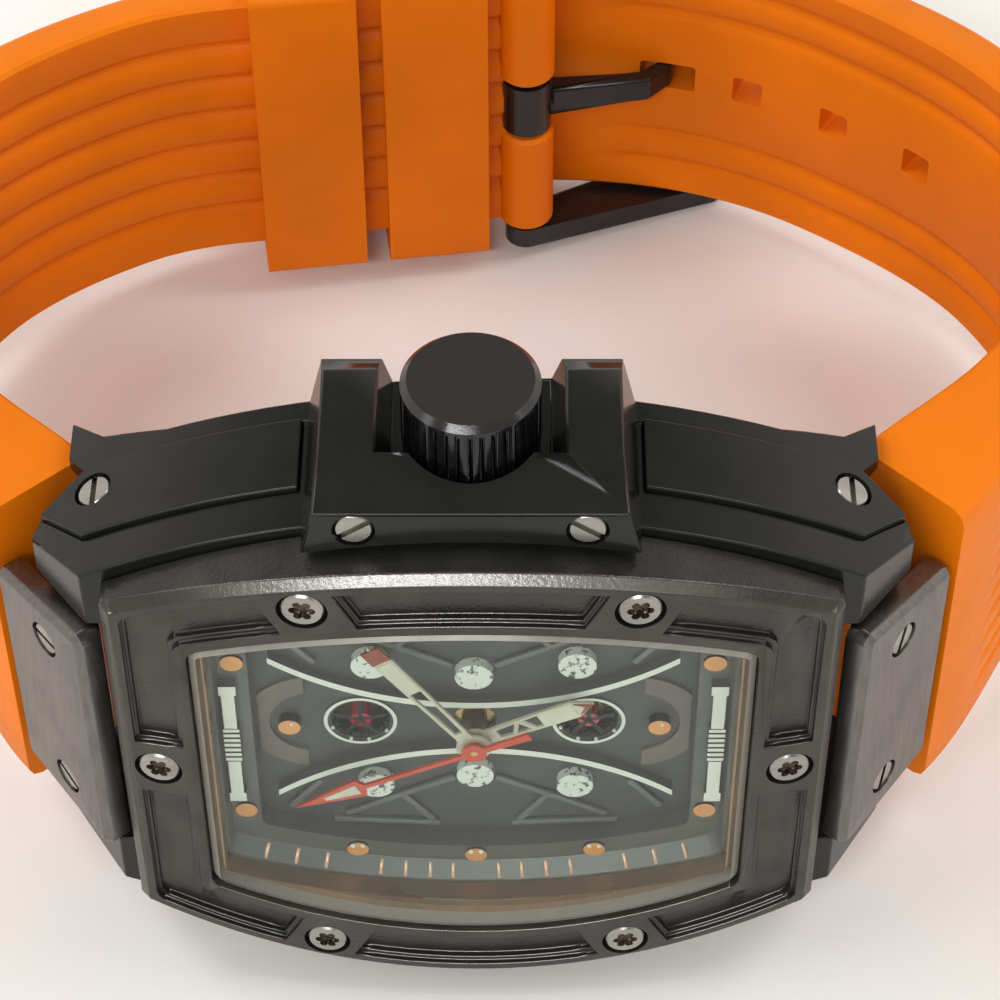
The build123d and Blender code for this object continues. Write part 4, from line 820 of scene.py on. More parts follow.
@dataclass
class Strap:
    """The two rubber strap halves and their keepers."""

    loop_half_width: float = 40.55
    loop_depth: float = 67.0
    outer_six: tuple = ((0.690, 0.152), (0.838, 0.293), (0.968, 0.448), (1.0, 0.575), (0.892, 0.770),
                        (0.616, 0.916), (0.414, 0.974), (0.172, 1.001), (-0.025, 0.997))
    inner_six: tuple = ((0.552, 0.233), (0.751, 0.352), (0.894, 0.492), (0.919, 0.597), (0.828, 0.737),
                        (0.569, 0.878), (0.394, 0.930), (0.185, 0.954), (-0.025, 0.949))
    outer_twelve: tuple = ((0.690, 0.152), (0.823, 0.284), (0.958, 0.448), (0.980, 0.560), (0.887, 0.740),
                           (0.626, 0.866), (0.429, 0.903))
    inner_twelve: tuple = ((0.552, 0.224), (0.714, 0.319), (0.877, 0.466), (0.904, 0.575), (0.833, 0.703),
                           (0.589, 0.824), (0.419, 0.855))
    start_heading: float = 48.0
    back_slope: float = 8.0
    half_width_case: float = 12.4
    half_width_back: float = 11.0
    taper_start: float = 14.0
    taper_end: float = 50.0
    edge_bevel: float = 0.9
    groove_count: int = 9
    groove_pitch: float = 2.1
    groove_width: float = 0.75
    groove_depth: float = 0.42
    tail_end_x: float = -22.5
    bar_x: float = 3.2
    bar_depth: float = 60.6
    roll_radius: float = 1.95
    roll_gap: float = 2.45
    stations: int = 120
    rib_count: int = 7
    rib_pitch: float = 2.95
    rib_depth: float = 0.5
    rib_from_x: float = 8.5
    edge_ribs: tuple = (5.6, 8.3)
    valley_profile: tuple = ((0.9, 0.0), (0.45, 0.45), (0.12, 1.0), (-0.12, 1.0), (-0.45, 0.45), (-0.9, 0.0))
    hole_count: int = 4
    hole_first: float = 14.4
    hole_pitch: float = 7.1
    hole_size: float = 2.2
    used_hole_size: float = 4.0
    hole_reach: float = 12.0
    hole_corner: float = 0.25
    groove_start: float = 0.05
    groove_ease: float = 0.03
    groove_end_ease: float = 0.02
    rib_ease: float = 0.1
    rib_run_in: float = 2.0
    rubber: MouldedRubber = MouldedRubber("orange_rubber", (0.80, 0.185, 0.001))

    def line(self, shares: tuple, sign: int, end_x: float) -> list[Vector]:
        """One edge of a strap half in the side view, with its straight end.

        Args:
            shares: The edge's shares of the loop's half width and depth.
            sign: Which half: 1 at six, -1 at twelve.
            end_x: Where the straight end stops.

        Returns:
            Even points along the edge.
        """
        points = [side(sign * self.loop_half_width * a, self.loop_depth * b) for a, b in shares]
        away = math.radians(self.start_heading)
        back = math.radians(self.back_slope)
        first = Vector((sign * math.cos(away), 0, -math.sin(away)))
        last = Vector((-sign * math.cos(back), 0, sign * math.sin(back)))
        curve = smooth_path(points, first, last, self.stations)
        run = (end_x - points[-1].x) / last.x
        curve.append(points[-1] + last * run)
        return even_steps(curve, self.stations)

    def half_width(self, depth: float) -> float:
        """Half the strap's width at a depth behind the bezel crest."""
        share = clip((depth - self.taper_start) / (self.taper_end - self.taper_start))
        return self.half_width_case + (self.half_width_back - self.half_width_case) * share

    def inner_face(self, half: float, sign: int, ribbed: float) -> list[tuple[float, float]]:
        """The ribbed inner face: pairs of y and height, from the positive side to the negative.

        Args:
            half: Half the width; not used.
            sign: Which half: 1 at six, -1 at twelve.
            ribbed: How deep the ribs are, from nought to one.

        Returns:
            The row of points.
        """
        if sign < 0:
            valleys = [(i - (self.rib_count - 2) / 2) * self.rib_pitch for i in range(self.rib_count - 1)]
        else:
            valleys = [edge * place for edge in (-1, 1) for place in self.edge_ribs]
        return [(valley + step, share * self.rib_depth * ribbed)
                for valley in sorted(valleys, reverse=True) for step, share in self.valley_profile]

    def section(self, half: float, thickness: float, grooved: float, sign: int,
                ribbed: float) -> list[tuple[float, float]]:
        """The strap's cross-section: pairs of y and height over the inner face.

        Args:
            half: Half the width.
            thickness: The thickness there.
            grooved: How deep the outer grooves are, from nought to one.
            sign: Which half: 1 at six, -1 at twelve.
            ribbed: How deep the inner ribs are, from nought to one.

        Returns:
            The closed ring of points.
        """
        bevel = min(self.edge_bevel, thickness * 0.3)
        ring = [(-half + bevel * 0.3, 0.0), (-half, bevel * 0.3), (-half, thickness - bevel),
                (-half + bevel * 0.35, thickness - bevel * 0.3), (-half + bevel * 1.1, thickness)]
        wall = self.groove_width * 0.12
        for i in range(self.groove_count):
            middle = (i - (self.groove_count - 1) / 2) * self.groove_pitch
            left = middle - self.groove_width / 2
            right = middle + self.groove_width / 2
            floor = thickness - self.groove_depth * grooved
            ring += [(left - wall, thickness), (left, thickness - wall * grooved), (left + wall, floor),
                     (right - wall, floor), (right, thickness - wall * grooved), (right + wall, thickness)]
        ring += [(half - bevel * 1.1, thickness), (half - bevel * 0.35, thickness - bevel * 0.3),
                 (half, thickness - bevel), (half, bevel * 0.3), (half - bevel * 0.3, 0.0)]
        return ring + self.inner_face(half, sign, ribbed)

    def half(self, name: str, outer: tuple, inner: tuple, sign: int, end_x: float) -> Shaper:
        """One strap half with its lengthwise grooves.

        Args:
            name: The piece's name.
            outer: The outer edge's shares.
            inner: The inner edge's shares.
            sign: Which half: 1 at six, -1 at twelve.
            end_x: Where its straight end stops.

        Returns:
            The piece under construction.
        """
        shaper = Shaper(name)
        outside = self.line(outer, sign, end_x)
        inside = self.line(inner, sign, end_x)
        rings = []
        for i, (near, far) in enumerate(zip(inside, outside)):
            thickness = (far - near).length
            up = (far - near).normalized()
            share = i / (self.stations - 1)
            grooved = clip((share - self.groove_start) / self.groove_ease)
            grooved *= clip((1 - share) / self.groove_end_ease)
            ribbed = clip(share / self.rib_ease)
            if sign > 0 and share > 0.4:
                ribbed *= clip((near.x - self.rib_from_x) / self.rib_run_in)
            width = self.half_width(-(near.z + far.z) / 2)
            ring = self.section(width, thickness, grooved, sign, ribbed)
            rings.append([near + up * v + Vector((0, y, 0)) for y, v in ring])
        shaper.sweep(rings)
        return shaper

    def hole_cutters(self) -> Shaper:
        """The square posts that open the holes of the six o'clock half.

        Returns:
            The posts under construction.
        """
        shaper = Shaper("hole_posts")
        outside = self.line(self.outer_six, 1, self.tail_end_x)
        end_x = self.outer_six[-1][0] * self.loop_half_width
        back_half = range(self.stations // 2 + 1, self.stations)
        curve_end = min(back_half, key=lambda i: abs(outside[i].x - end_x))
        runs = [0.0]
        for before, after in zip(outside[curve_end::-1], outside[curve_end - 1::-1]):
            runs.append(runs[-1] + (after - before).length)
        for i in range(self.hole_count):
            want = self.hole_first + i * self.hole_pitch
            index = curve_end - min(range(len(runs)), key=lambda k: abs(runs[k] - want))
            heading = (outside[index - 1] - outside[index + 1]).normalized()
            size = self.used_hole_size if i == 0 else self.hole_size
            turn = Matrix.Rotation(math.atan2(-heading.z, heading.x), 3, "Y")
            shaper.block(outside[index], (size, self.hole_size, self.hole_reach), turn, self.hole_corner)
        return shaper

    def cut_holes(self, strap: bpy.types.Object) -> None:
        """Opens the holes in a finished strap half.

        Args:
            strap: The six o'clock half.
        """
        posts = self.hole_cutters().set_down()
        cut = strap.modifiers.new("holes", "BOOLEAN")
        cut.operation = "DIFFERENCE"
        cut.solver = "EXACT"
        cut.object = posts
        graph = bpy.context.evaluated_depsgraph_get()
        opened = bpy.data.meshes.new_from_object(strap.evaluated_get(graph))
        strap.modifiers.remove(cut)
        strap.data = opened
        bpy.data.objects.remove(posts)
        log.info("strap_six: holes opened, %d faces", len(opened.polygons))

    def add_roll(self, shaper: Shaper) -> None:
        """Adds the rolled ends that hold the buckle bar, one each side of the tongue.

        Args:
            shaper: The twelve o'clock half under construction.
        """
        angles = [math.tau * k / 32 for k in range(32)]
        bar = side(self.bar_x, self.bar_depth)
        for sign in (-1, 1):
            rings = []
            span = self.half_width_back - self.roll_gap
            for share, inset in ((0.0, 0.25), (0.03, 0.0), (0.97, 0.0), (1.0, 0.25)):
                y = sign * (self.roll_gap + span * share)
                radius = self.roll_radius - inset
                rings.append([bar + Vector((radius * math.cos(a), y, radius * math.sin(a))) for a in angles])
            shaper.sweep(rings)

    def build(self) -> None:
        """Builds the strap halves and the keepers."""
        rubber = self.rubber.make()
        six = self.half("strap_six", self.outer_six, self.inner_six, 1, self.tail_end_x)
        half_six = six.finish(rubber, Body.WATCH, "orange_rubber", "strap_6")
        self.cut_holes(half_six)
        roll_start = self.bar_x - self.roll_radius / 2
        twelve = self.half("strap_twelve", self.outer_twelve, self.inner_twelve, -1, roll_start)
        self.add_roll(twelve)
        twelve.finish(rubber, Body.WATCH, "orange_rubber", "strap_12")
        softened("keeper_fixed", "band_fixed", rubber, Body.WATCH, 0.35, 3)
        softened("keeper_free", "band_free", rubber, Body.KEEPER, 0.35, 3)


def dress(node: str, material: bpy.types.Material) -> None:
    """Gives a CAD node a finish.

    Args:
        node: The node's name.
        material: The finish.
    """
    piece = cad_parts[node]
    piece.data.materials.clear()
    piece.data.materials.append(material)
    log.info("%s wears %s", node, material.name)


@dataclass
class CaseDress:
    """The finishes of the case, its plates and screws: each with its slot and the nodes that wear it."""

    wear: tuple = (
        # the bezel's crest wears a painted highlight
        (Coating("bezel_black", (0.062, 0.060, 0.054), 0.30, 0.75, 4200.0, 0.00004, 0.7, 0.2,
                 crest=(0.24, 0.235, 0.22)), "case_black", ("bezel",)),
        (Coating("polished_black", (0.011, 0.011, 0.010), 0.16, 0.0, 7000.0, 0.000003, 0.1, 0.2,
                 specular=0.3), "case_black", ("case_middle", "case_back", "side_plate_upper_12",
                                                "side_plate_upper_6", "side_plate_lower", "crown_guard")),
        # the crown cap's walls are painted darker as shade
        (PaintedShadeTrim("crown_cap", (0.024, 0.020, 0.020), (0.004, 0.004, 0.005), 0.16, 7000.0, (0, 1, 0)),
         "case_black", ("crown",)),
        (Brushed("gunmetal", (0.17, 0.16, 0.155), 0.34, (9.0, 9.0, 0.5), marks=0.12),
         "plate_steel", ("end_plate_12", "end_plate_6")),
        (Brushed("screw_steel", (0.36, 0.35, 0.32), 0.28, (0.2, 1.0, 0.6)),
         "screw_steel", ("bezel_screws", "side_plate_screws", "crown_guard_screws", "end_plate_screws",
                         "case_back_screws")),
        (Coating("buckle_grey", (0.05, 0.05, 0.053), 0.26, 0.8, 6000.0, 0.000004, 0.15, 0.15),
         "buckle_grey", ("buckle_frame", "buckle_bar", "buckle_tongue")),
    )
    rounding: dict = field(default_factory=lambda: {
        "case_middle": 0.14, "case_back": 0.14, "side_plate_upper_12": 0.14, "side_plate_upper_6": 0.14,
        "side_plate_lower": 0.14, "crown_guard": 0.15, "end_plate_12": 0.1, "end_plate_6": 0.1,
        "buckle_frame": 0.35, "buckle_tongue": 0.3, "bezel": 0.10, "crown": 0.12})
    riders: dict = field(default_factory=lambda: {
        "buckle_frame": Body.BUCKLE, "buckle_tongue": Body.TONGUE, "crown": Body.CROWN})
    shortest: float = 0.45
    guard_shortest: float = 3.0

    def build(self) -> None:
        """Dresses the nodes of the case and the buckle."""
        for finish, slot, nodes in self.wear:
            material = finish.make()
            for node in nodes:
                if node not in self.rounding:
                    dress(node, material)
                    continue
                shortest = self.guard_shortest if node == "crown_guard" else self.shortest
                softened(node, node + "_dressed", material, self.riders.get(node, Body.WATCH),
                         self.rounding[node], shortest=shortest)


@dataclass
class DialDress:
    """The finishes of the dial, the hands and what lies behind them, each with the nodes that wear it."""

    wear: tuple = (
        (Coating("dial_dark", (0.080, 0.083, 0.079), 0.5, 0.2), ("dial_plate",)),
        (Coating("rehaut", (0.13, 0.131, 0.122), 0.4, 0.3), ("chapter_ring",)),
        # the white work's walls are painted dark as shade
        (PaintedShadeTrim("dial_white", (0.82, 0.82, 0.74), (0.10, 0.10, 0.09)),
         ("dial_arcs", "dial_rings", "dial_struts")),
        (Speckled("speckled_white", (0.78, 0.80, 0.75), (0.10, 0.10, 0.10)), ("dial_discs",)),
        (Coating("crescent_grey", (0.16, 0.13, 0.115), 0.45), ("dial_crescents",)),
        (Coating("ruby", (0.42, 0.01, 0.04), 0.12, 0.0, coat=0.6), ("dial_jewels",)),
        # the markers' walls are painted near black as shade
        (PaintedShadeTrim("marker_copper", (0.78, 0.34, 0.11), (0.02, 0.018, 0.016), 0.32), ("hour_markers",)),
        (Coating("hand_cream", (0.62, 0.58, 0.46), 0.35, 0.2), ("hour_hand", "minute_hand")),
        (Coating("seconds_red", (0.62, 0.07, 0.03), 0.35), ("seconds_hand",)),
        (Brushed("turned_brass", (0.62, 0.45, 0.2), 0.3, (1.0, 1.0, 0.1)),
         ("main_plate", "train_bridge", "centre_wheel", "third_wheel", "seconds_wheel", "minute_work_wheel",
          "hour_wheel")),
        (Brushed("turned_steel", (0.55, 0.55, 0.55), 0.3, (1.0, 1.0, 0.1)),
         ("battery", "battery_clamp", "motor_stator", "setting_stem", "crown_tube", "strap_bar_12",
          "strap_bar_6")),
        (Coating("white_plastic", (0.7, 0.7, 0.67), 0.45), ("movement_holder", "intermediate_wheel")),
        (Coating("bonded_magnet", (0.06, 0.06, 0.07), 0.4), ("motor_rotor",)),
        (Brushed("copper_winding", (0.55, 0.2, 0.08), 0.35, (0.05, 1.0, 1.0)), ("motor_coil",)),
        (Coating("board_green", (0.02, 0.12, 0.05), 0.4), ("circuit_board",)),
        (Coating("amber_seal", (0.36, 0.23, 0.12), 0.35, 0.4), ("crystal_gasket",)),
        (Coating("seal_rubber", (0.012, 0.012, 0.012), 0.6),
         ("bezel_gasket", "case_back_gasket", "crown_gasket")),
    )
    glass: ClearGlass = ClearGlass("crystal", (0.95, 0.98, 0.965), 0.01)
    # painted highlight: the crystal's bevel is painted pale, brighter where it faces one way
    edge: PaintedBevelHighlight = PaintedBevelHighlight("crystal_edge_highlight", (0.93, 0.89, 0.78), 0.26)
    edge_facing: tuple = (-0.3, 0.9)

    def build(self) -> None:
        """Dresses the nodes of the dial, hands and movement."""
        for finish, nodes in self.wear:
            material = finish.make()
            for node in nodes:
                dress(node, material)
        self.set_crystal()

    def set_crystal(self) -> None:
        """Gives the crystal a clear sheet and a bevelled edge with a painted highlight."""
        piece = softened("crystal", "crystal_dressed", self.glass.make(), Body.WATCH)
        piece.data.materials.append(self.edge.make())
        front = rest_heading((0, 0, 1))
        least, most = self.edge_facing
        for polygon in piece.data.polygons:
            polygon.material_index = 1 if least < polygon.normal.dot(front) < most else 0


def bow_drop(x: float, half_width: float) -> float:
    """How far a bowed dial line of that half width has fallen back at x."""
    bow = BOW_RADIUS + half_width - BOW_HALF_WIDTH
    return bow - math.sqrt(bow * bow - x * x)


def barrel(half_length: float, half_width: float, depth: float, count: int = 24) -> list[Vector]:
    """A tonneau outline with bowed long sides.

    Args:
        half_length: Half its length along x.
        half_width: Half its width along y at the middle.
        depth: The depth it lies at.
        count: The points along each long side.

    Returns:
        The outline's points.
    """
    row = [half_length * (2 * i / (count - 1) - 1) for i in range(count)]
    upper = [Vector((x, half_width - bow_drop(x, half_width), -depth)) for x in row]
    lower = [Vector((x, -point.y, -depth)) for x, point in zip(reversed(row), reversed(upper))]
    return upper + lower


@dataclass
class DialDetail:
    """Small raised work on the dial that catches the light."""

    dial_depth: float = 5.3
    band_half_length: float = 15.2
    band_half_width: float = 13.5
    band_gap: float = 0.02
    band_wall: float = 0.14
    band_front: float = 1.86
    band_back: float = 3.08
    tick_places: tuple = (1.4, 2.8, 4.3, 5.8, 9.1, 10.9, 12.7)
    tick_width: float = 0.22
    tick_height: float = 0.12
    tick_bevel: float = 0.03
    tick_fan: float = 0.02
    tick_rise: float = 0.02
    tick_inner: tuple = (12.42, 3.9)
    tick_outer: tuple = (13.1, 3.2)
    dot_places: tuple = ((0.0, 11.6), (7.2, 11.0), (-7.2, 11.0))
    # two white balls by each dot stand for painted glints: their step, rise and depth
    dot_glint: tuple = (0.3, 0.42, -3.8)
    dot_glint_radius: float = 0.16
    dot_glint_squash: float = 0.8
    ring_x: float = 6.7
    ring_pearl_angles: tuple = (200, 250, 285, 330)
    ring_pearl_reach: float = 1.75
    ring_pearl_radius: float = 0.12
    end_pearls: tuple = ((-10.7, 0.45, -4.62), (11.0, 0.45, -4.62))
    end_pearl_radius: float = 0.13
    bridge_lines: tuple = (((1.2, -5.3), (4.4, -7.0)), ((4.4, -7.0), (7.9, -9.0)), ((4.4, -7.0), (2.6, -9.6)),
                           ((2.2, -9.9), (8.6, -9.5)), ((9.2, -5.6), (11.2, -8.2)))
    bridge_width: float = 0.42
    bridge_top: float = 5.0
    bridge_bevel: float = 0.08
    spoke_count: int = 5
    spoke_turn: float = 0.3
    spoke_length: float = 1.6
    spoke_width: float = 0.3
    spoke_back: float = 5.38
    tooth_count: int = 20
    tooth_reach: float = 1.55
    tooth_depth: float = 5.42
    tooth_size: tuple = (0.22, 0.16, 0.12)
    fine_bevel: float = 0.02
    screw_x: float = 9.15
    screw_y: float = 15.75
    end_screw_x: float = 18.3
    arch: float = 100.0
    socket_radius: float = 0.66
    socket_taper: float = 0.8
    socket_floor: float = 0.48
    socket_height: float = 0.12
    field_rise: float = 0.05
    field_sink: float = 0.12
    hour_angle: float = 27.5
    minute_angle: float = 123.1
    seconds_angle: float = 206.4
    hour_size: tuple = (7.8, 0.75, 3.65)
    minute_size: tuple = (11.0, 0.6, 3.2)
    hand_shares: tuple = (0.56, 0.84, 0.86, 0.97)
    lume_inset: float = 0.12
    tip_rise: float = 0.04
    brace_depth: float = 3.69
    seconds_depth: float = 2.75
    braces: tuple = (((2.3, -0.5), (2.6, -0.5), (3.2, 0.5), (2.9, 0.5)),
                     ((3.6, -0.5), (3.9, -0.5), (3.3, 0.5), (3.0, 0.5)))
    arrow: tuple = ((7.7, -0.42), (9.9, -0.12), (9.9, 0.12), (7.7, 0.42))
    gold: Coating = Coating("rehaut_gold", (0.30, 0.19, 0.10), 0.3, 0.7)
    copper: Coating = Coating("tick_copper", (0.62, 0.36, 0.22), 0.3, 0.4)
    # white for the ring balls, and for the painted glints by the dots
    pearl_and_glint: Coating = Coating("pearl_white_and_glint", (0.85, 0.85, 0.82), 0.15, 0.0)
    lume: Coating = Coating("lume_cream", (0.66, 0.64, 0.52), 0.5)
    tip: Coating = Coating("tip_red", (0.30, 0.07, 0.04), 0.3, 0.3)
    bridge: Coating = Coating("bridge_grey", (0.17, 0.175, 0.165), 0.45, 0.3)
    shadow: Coating = Coating("shadow_black", (0.006, 0.006, 0.006), 0.5)
    brown: Coating = Coating("socket_brown", (0.10, 0.065, 0.05), 0.25, 0.9, 3200.0, 0.00012, 1.0, 0.5)

    def rehaut(self) -> None:
        """Lines the bezel's inner wall with a warm band."""
        shaper = Shaper("rehaut_band")
        corners = ((self.band_gap, self.band_front), (self.band_wall, self.band_front),
                   (self.band_wall, self.band_back), (self.band_gap, self.band_back))
        shaper.band([barrel(self.band_half_length - inset, self.band_half_width - inset, depth)
                     for inset, depth in corners])
        shaper.finish(self.gold.make(), Body.WATCH, "rehaut")

    def ticks(self) -> None:
        """Lays the minute ticks on the slope round the dial."""
        shaper = Shaper("minute_ticks")
        run = self.tick_outer[0] - self.tick_inner[0]
        fall = self.tick_inner[1] - self.tick_outer[1]
        middle = (self.tick_inner[0] + self.tick_outer[0]) / 2
        depth = (self.tick_inner[1] + self.tick_outer[1]) / 2 - self.tick_rise
        size = (self.tick_width, math.hypot(run, fall), self.tick_height)
        for sign in (-1, 1):
            lean = Matrix.Rotation(sign * math.atan2(fall, run), 3, "X")
            for x in [half * place for place in self.tick_places for half in (-1, 1)]:
                y = sign * (middle - bow_drop(x, self.tick_outer[0]))
                turn = lean @ Matrix.Rotation(-sign * x * self.tick_fan, 3, "Z")
                shaper.block(Vector((x, y, -depth)), size, turn, self.tick_bevel)
        shaper.finish(self.copper.make(), Body.WATCH, "marker_copper")

    def pearls_and_glints(self) -> None:
        """Sets the small white balls in the rings, and painted highlights: small white balls by each dot that
        stand for its glints.
        """
        shaper = Shaper("dial_pearls_and_glints")
        step, rise, height = self.dot_glint
        # painted highlight: two white balls by each dot stand for its glints
        for x, y in self.dot_places:
            for sign in (-1, 1):
                for shift in (-step, step):
                    spot = Vector((x + shift, sign * y + rise, height))
                    shaper.ball(spot, self.dot_glint_radius, self.dot_glint_squash)
        depth = self.dial_depth - self.ring_pearl_radius
        for x in (-self.ring_x, self.ring_x):
            for angle in self.ring_pearl_angles:
                spot = around(x, self.ring_pearl_reach, math.radians(angle), depth)
                shaper.ball(spot, self.ring_pearl_radius)
        for spot in self.end_pearls:
            shaper.ball(Vector(spot), self.end_pearl_radius)
        shaper.finish(self.pearl_and_glint.make(), Body.WATCH, "dial_white")

    def bars(self, shaper: Shaper, lines: list[tuple], width: float, top: float, bottom: float,
             bevel: float) -> None:
        """Adds straight bars that lie flat.

        Args:
            shaper: The piece under construction.
            lines: Pairs of end points.
            width: The bars' width.
            top: The depth of their fronts.
            bottom: The depth of their backs.
            bevel: The width of their edge bevels.
        """
        for (x0, y0), (x1, y1) in lines:
            turn = Matrix.Rotation(math.atan2(y1 - y0, x1 - x0), 3, "Z")
            middle = Vector(((x0 + x1) / 2, (y0 + y1) / 2, -(top + bottom) / 2))
            shaper.block(middle, (math.hypot(x1 - x0, y1 - y0), width, bottom - top), turn, bevel)

    def bridges(self) -> None:
        """Adds the thin open-work bridges of the dial, alike in all four quarters."""
        shaper = Shaper("dial_bridges")
        lines = [((sx * x0, sy * y0), (sx * x1, sy * y1)) for (x0, y0), (x1, y1) in self.bridge_lines
                 for sx in (-1, 1) for sy in (-1, 1)]
        self.bars(shaper, lines, self.bridge_width, self.bridge_top, self.dial_depth, self.bridge_bevel)
        shaper.finish(self.bridge.make(), Body.WATCH, "dial_dark")

    def wheels(self) -> None:
        """Adds the dark wheel that shows inside each ring."""
        shaper = Shaper("ring_wheels")
        for x in (-self.ring_x, self.ring_x):
            spokes = [math.tau * k / self.spoke_count + self.spoke_turn for k in range(self.spoke_count)]
            lines = [((x, 0.0), around(x, self.spoke_length, angle)[:2]) for angle in spokes]
            self.bars(shaper, lines, self.spoke_width, self.dial_depth, self.spoke_back, 0.0)
            for angle in [math.tau * k / self.tooth_count for k in range(self.tooth_count)]:
                spot = around(x, self.tooth_reach, angle, self.tooth_depth)
                shaper.block(spot, self.tooth_size, Matrix.Rotation(angle, 3, "Z"), self.fine_bevel)
        shaper.finish(self.shadow.make(), Body.WATCH, "dial_dark")

    def sockets(self) -> None:
        """Lays a rough brown floor in the socket of each bezel screw."""
        shaper = Shaper("socket_floors")
        places = [(sx * self.screw_x, sy * self.screw_y) for sx in (-1, 1) for sy in (-1, 1)]
        places += [(-self.end_screw_x, 0.0), (self.end_screw_x, 0.0)]
        for x, y in places:
            tilt = Matrix.Rotation(math.asin(x / self.arch), 3, "Y")
            drop = self.arch - math.sqrt(self.arch ** 2 - x ** 2)
            verts = bmesh.ops.create_cone(shaper.bm, cap_ends=True, segments=24, radius1=self.socket_radius,
                                          radius2=self.socket_radius * self.socket_taper,
                                          depth=self.socket_height)["verts"]
            lift = self.socket_height / 2 - self.socket_floor
            bmesh.ops.translate(shaper.bm, vec=(0, 0, lift), verts=verts)
            bmesh.ops.rotate(shaper.bm, cent=(0, 0, 0), matrix=tilt, verts=verts)
            bmesh.ops.translate(shaper.bm, vec=(x, y, -drop), verts=verts)
        shaper.finish(self.brown.make(), Body.WATCH, "screw_steel")

    def hand_fields(self, name: str, body: Body, slot: str, finish: Coating, parts: list[tuple], angle: float,
                    depth: float) -> None:
        """Adds flat fields that lie on a hand.

        Args:
            name: The piece's name.
            body: The body it rides on.
            slot: The record's slot of the finish.
            finish: The finish.
            parts: Outlines along the hand, each a row of pairs.
            angle: The hand's angle in degrees.
            depth: The depth of the hand's front.
        """
        shaper = Shaper(name)
        turn = Matrix.Rotation(math.radians(angle), 3, "Z")
        for outline in parts:
            verts = shaper.plate(outline, depth - self.field_rise, depth + self.field_sink, self.fine_bevel)
            bmesh.ops.rotate(shaper.bm, cent=(0, 0, 0), matrix=turn, verts=verts)
        shaper.finish(finish.make(), body, slot)

    def hands(self) -> None:
        """Adds the lume fields, the red tips and the cross braces of the hands."""
        for name, body, (length, half, depth), angle in (
                ("hour_lume", Body.HOURS, self.hour_size, self.hour_angle),
                ("minute_lume", Body.MINUTES, self.minute_size, self.minute_angle)):
            start, shoulder, root, end = [length * share for share in self.hand_shares]
            inner = half - self.lume_inset
            lume = [(start, -inner), (shoulder, -inner), (shoulder, inner), (start, inner)]
            self.hand_fields(name, body, "hand_cream", self.lume, [lume], angle, depth)
            tip = [(root, -half), (end, -half), (end, half), (root, half)]
            if body is Body.HOURS:
                tip = [(root, -half * 0.7), (length - 0.1, 0.0), (root, half * 0.7), (length * 0.93, 0.0)]
            self.hand_fields(name + "_tip", body, "hand_red", self.tip, [tip], angle, depth - self.tip_rise)
        self.hand_fields("hour_braces", Body.HOURS, "hand_cream", self.lume, list(self.braces),
                         self.hour_angle, self.brace_depth)
        self.hand_fields("seconds_lume", Body.SECONDS, "hand_cream", self.lume, [self.arrow],
                         self.seconds_angle, self.seconds_depth)

    def build(self) -> None:
        """Builds the small work of the dial."""
        steps = (self.rehaut, self.ticks, self.pearls_and_glints, self.sockets, self.bridges, self.wheels, self.hands)
        for step in steps:
            step()


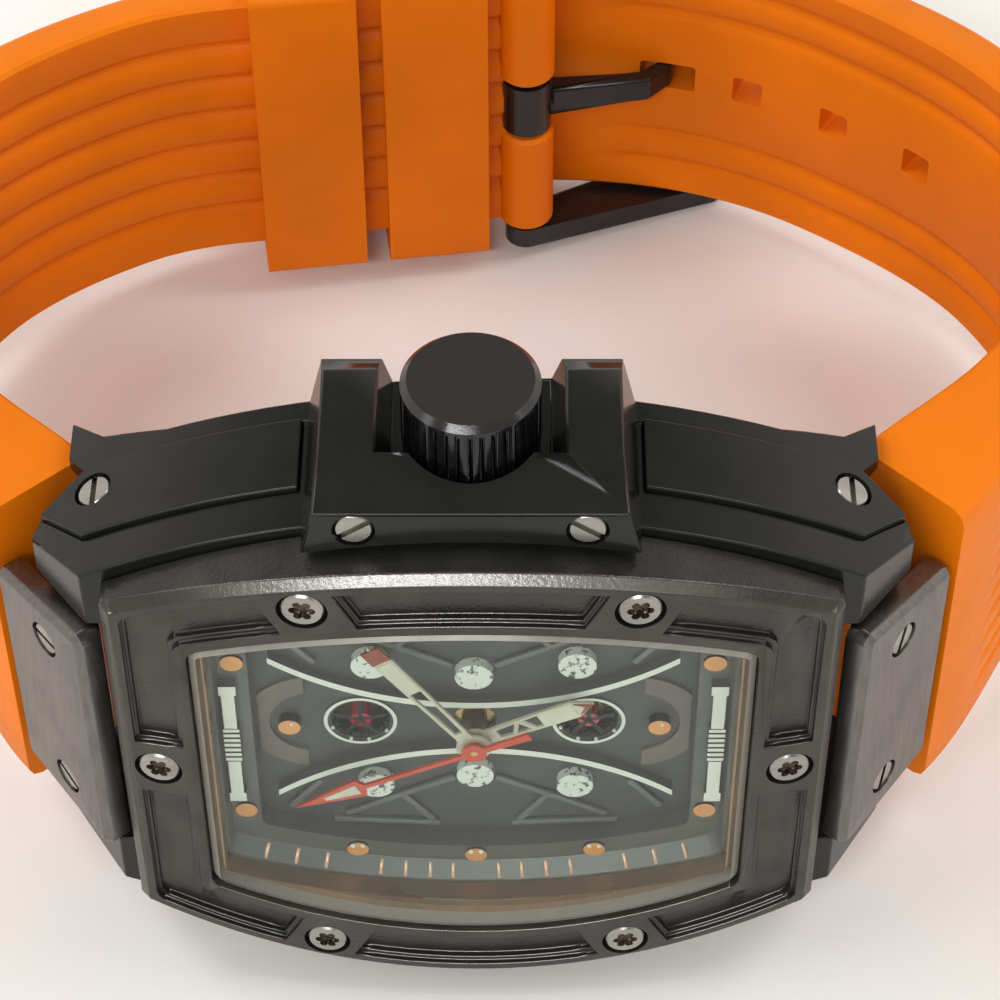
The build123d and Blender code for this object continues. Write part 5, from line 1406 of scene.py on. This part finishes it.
@dataclass
class Studio:
    """The table, the lamps, the camera and the world, which is pale at the horizon and dark overhead."""

    table: Tabletop = Tabletop("pale_table", (0.87, 0.86, 0.835))
    table_size: float = 3.0
    eye: tuple = (1.8775, -123.7922, 178.2473)
    turn: tuple = (35.1113, 0.1996, 0.1430)
    lens: float = 112.81
    lamps: tuple = (
        ("left_soft", (-0.75, -0.15, 0.72), 0.4, 0.4, 1.4),
        ("right_soft", (0.8, 0.05, 0.7), 0.4, 0.4, 1.0),
        ("left_high", (-0.52, 0.18, 0.9), 0.3, 0.3, 2.7),
        ("right_high", (0.52, 0.18, 0.9), 0.3, 0.3, 2.1),
        ("front_strip", (-0.2, -0.74, 0.82), 0.7, 0.1, 4.4),
    )
    sky: tuple = ((0.38, (1.05, 1.0, 0.94)), (0.56, (0.30, 0.29, 0.27)))

    def lay_table(self) -> None:
        """Makes the floor."""
        bm = bmesh.new()
        bmesh.ops.create_grid(bm, x_segments=8, y_segments=8, size=self.table_size / 2)
        floor = stand("table", bm)
        floor.data.materials.append(self.table.make())

    def set_camera(self) -> None:
        """Sets the camera where the photograph was taken from."""
        data = bpy.data.cameras.new("camera")
        data.lens = self.lens
        data.sensor_width = 36.0
        data.clip_start = 0.01
        camera = bpy.data.objects.new("camera", data)
        camera.location = Vector(self.eye) * MM
        camera.rotation_euler = Euler([math.radians(angle) for angle in self.turn])
        bpy.context.scene.collection.objects.link(camera)
        bpy.context.scene.camera = camera

    def lamp(self, name: str, spot: tuple, length: float, width: float, power: float) -> None:
        """Hangs one soft light that faces the watch.

        Args:
            name: The lamp's name.
            spot: Where it hangs, in metres.
            length: Its length along x in metres.
            width: Its width in metres.
            power: Its power in watts.
        """
        data = bpy.data.lights.new(name, "AREA")
        data.shape = "RECTANGLE"
        data.size = length
        data.size_y = width
        data.energy = power
        lamp = bpy.data.objects.new(name, data)
        lamp.location = spot
        lamp.rotation_euler = (-Vector(spot)).to_track_quat("-Z", "Y").to_euler()
        bpy.context.scene.collection.objects.link(lamp)

    def set_world(self) -> None:
        """Sets up the light that comes from all round."""
        world = bpy.data.worlds.new("studio")
        bpy.context.scene.world = world
        bench = NodeBench(world, "ShaderNodeOutputWorld")
        coordinate = bench.add("ShaderNodeTexCoord")
        split = bench.add("ShaderNodeSeparateXYZ")
        background = bench.add("ShaderNodeBackground")
        bench.link(coordinate.outputs["Generated"], split.inputs["Vector"])
        bench.link(bench.ramp(split.outputs["Z"], self.sky), background.inputs["Color"])
        bench.link(background.outputs["Background"], bench.output.inputs["Surface"])

    def build(self) -> None:
        """Sets up the table, the camera, the lamps and the world."""
        self.lay_table()
        self.set_camera()
        for lamp in self.lamps:
            self.lamp(*lamp)
        self.set_world()
        bpy.context.scene.view_settings.view_transform = "Standard"


def main() -> None:
    """Builds the watch and its studio."""
    for assembly in (CaseDress(), DialDress(), DialDetail(), Strap(), Studio()):
        assembly.build()


if __name__ == "__main__":
    main()
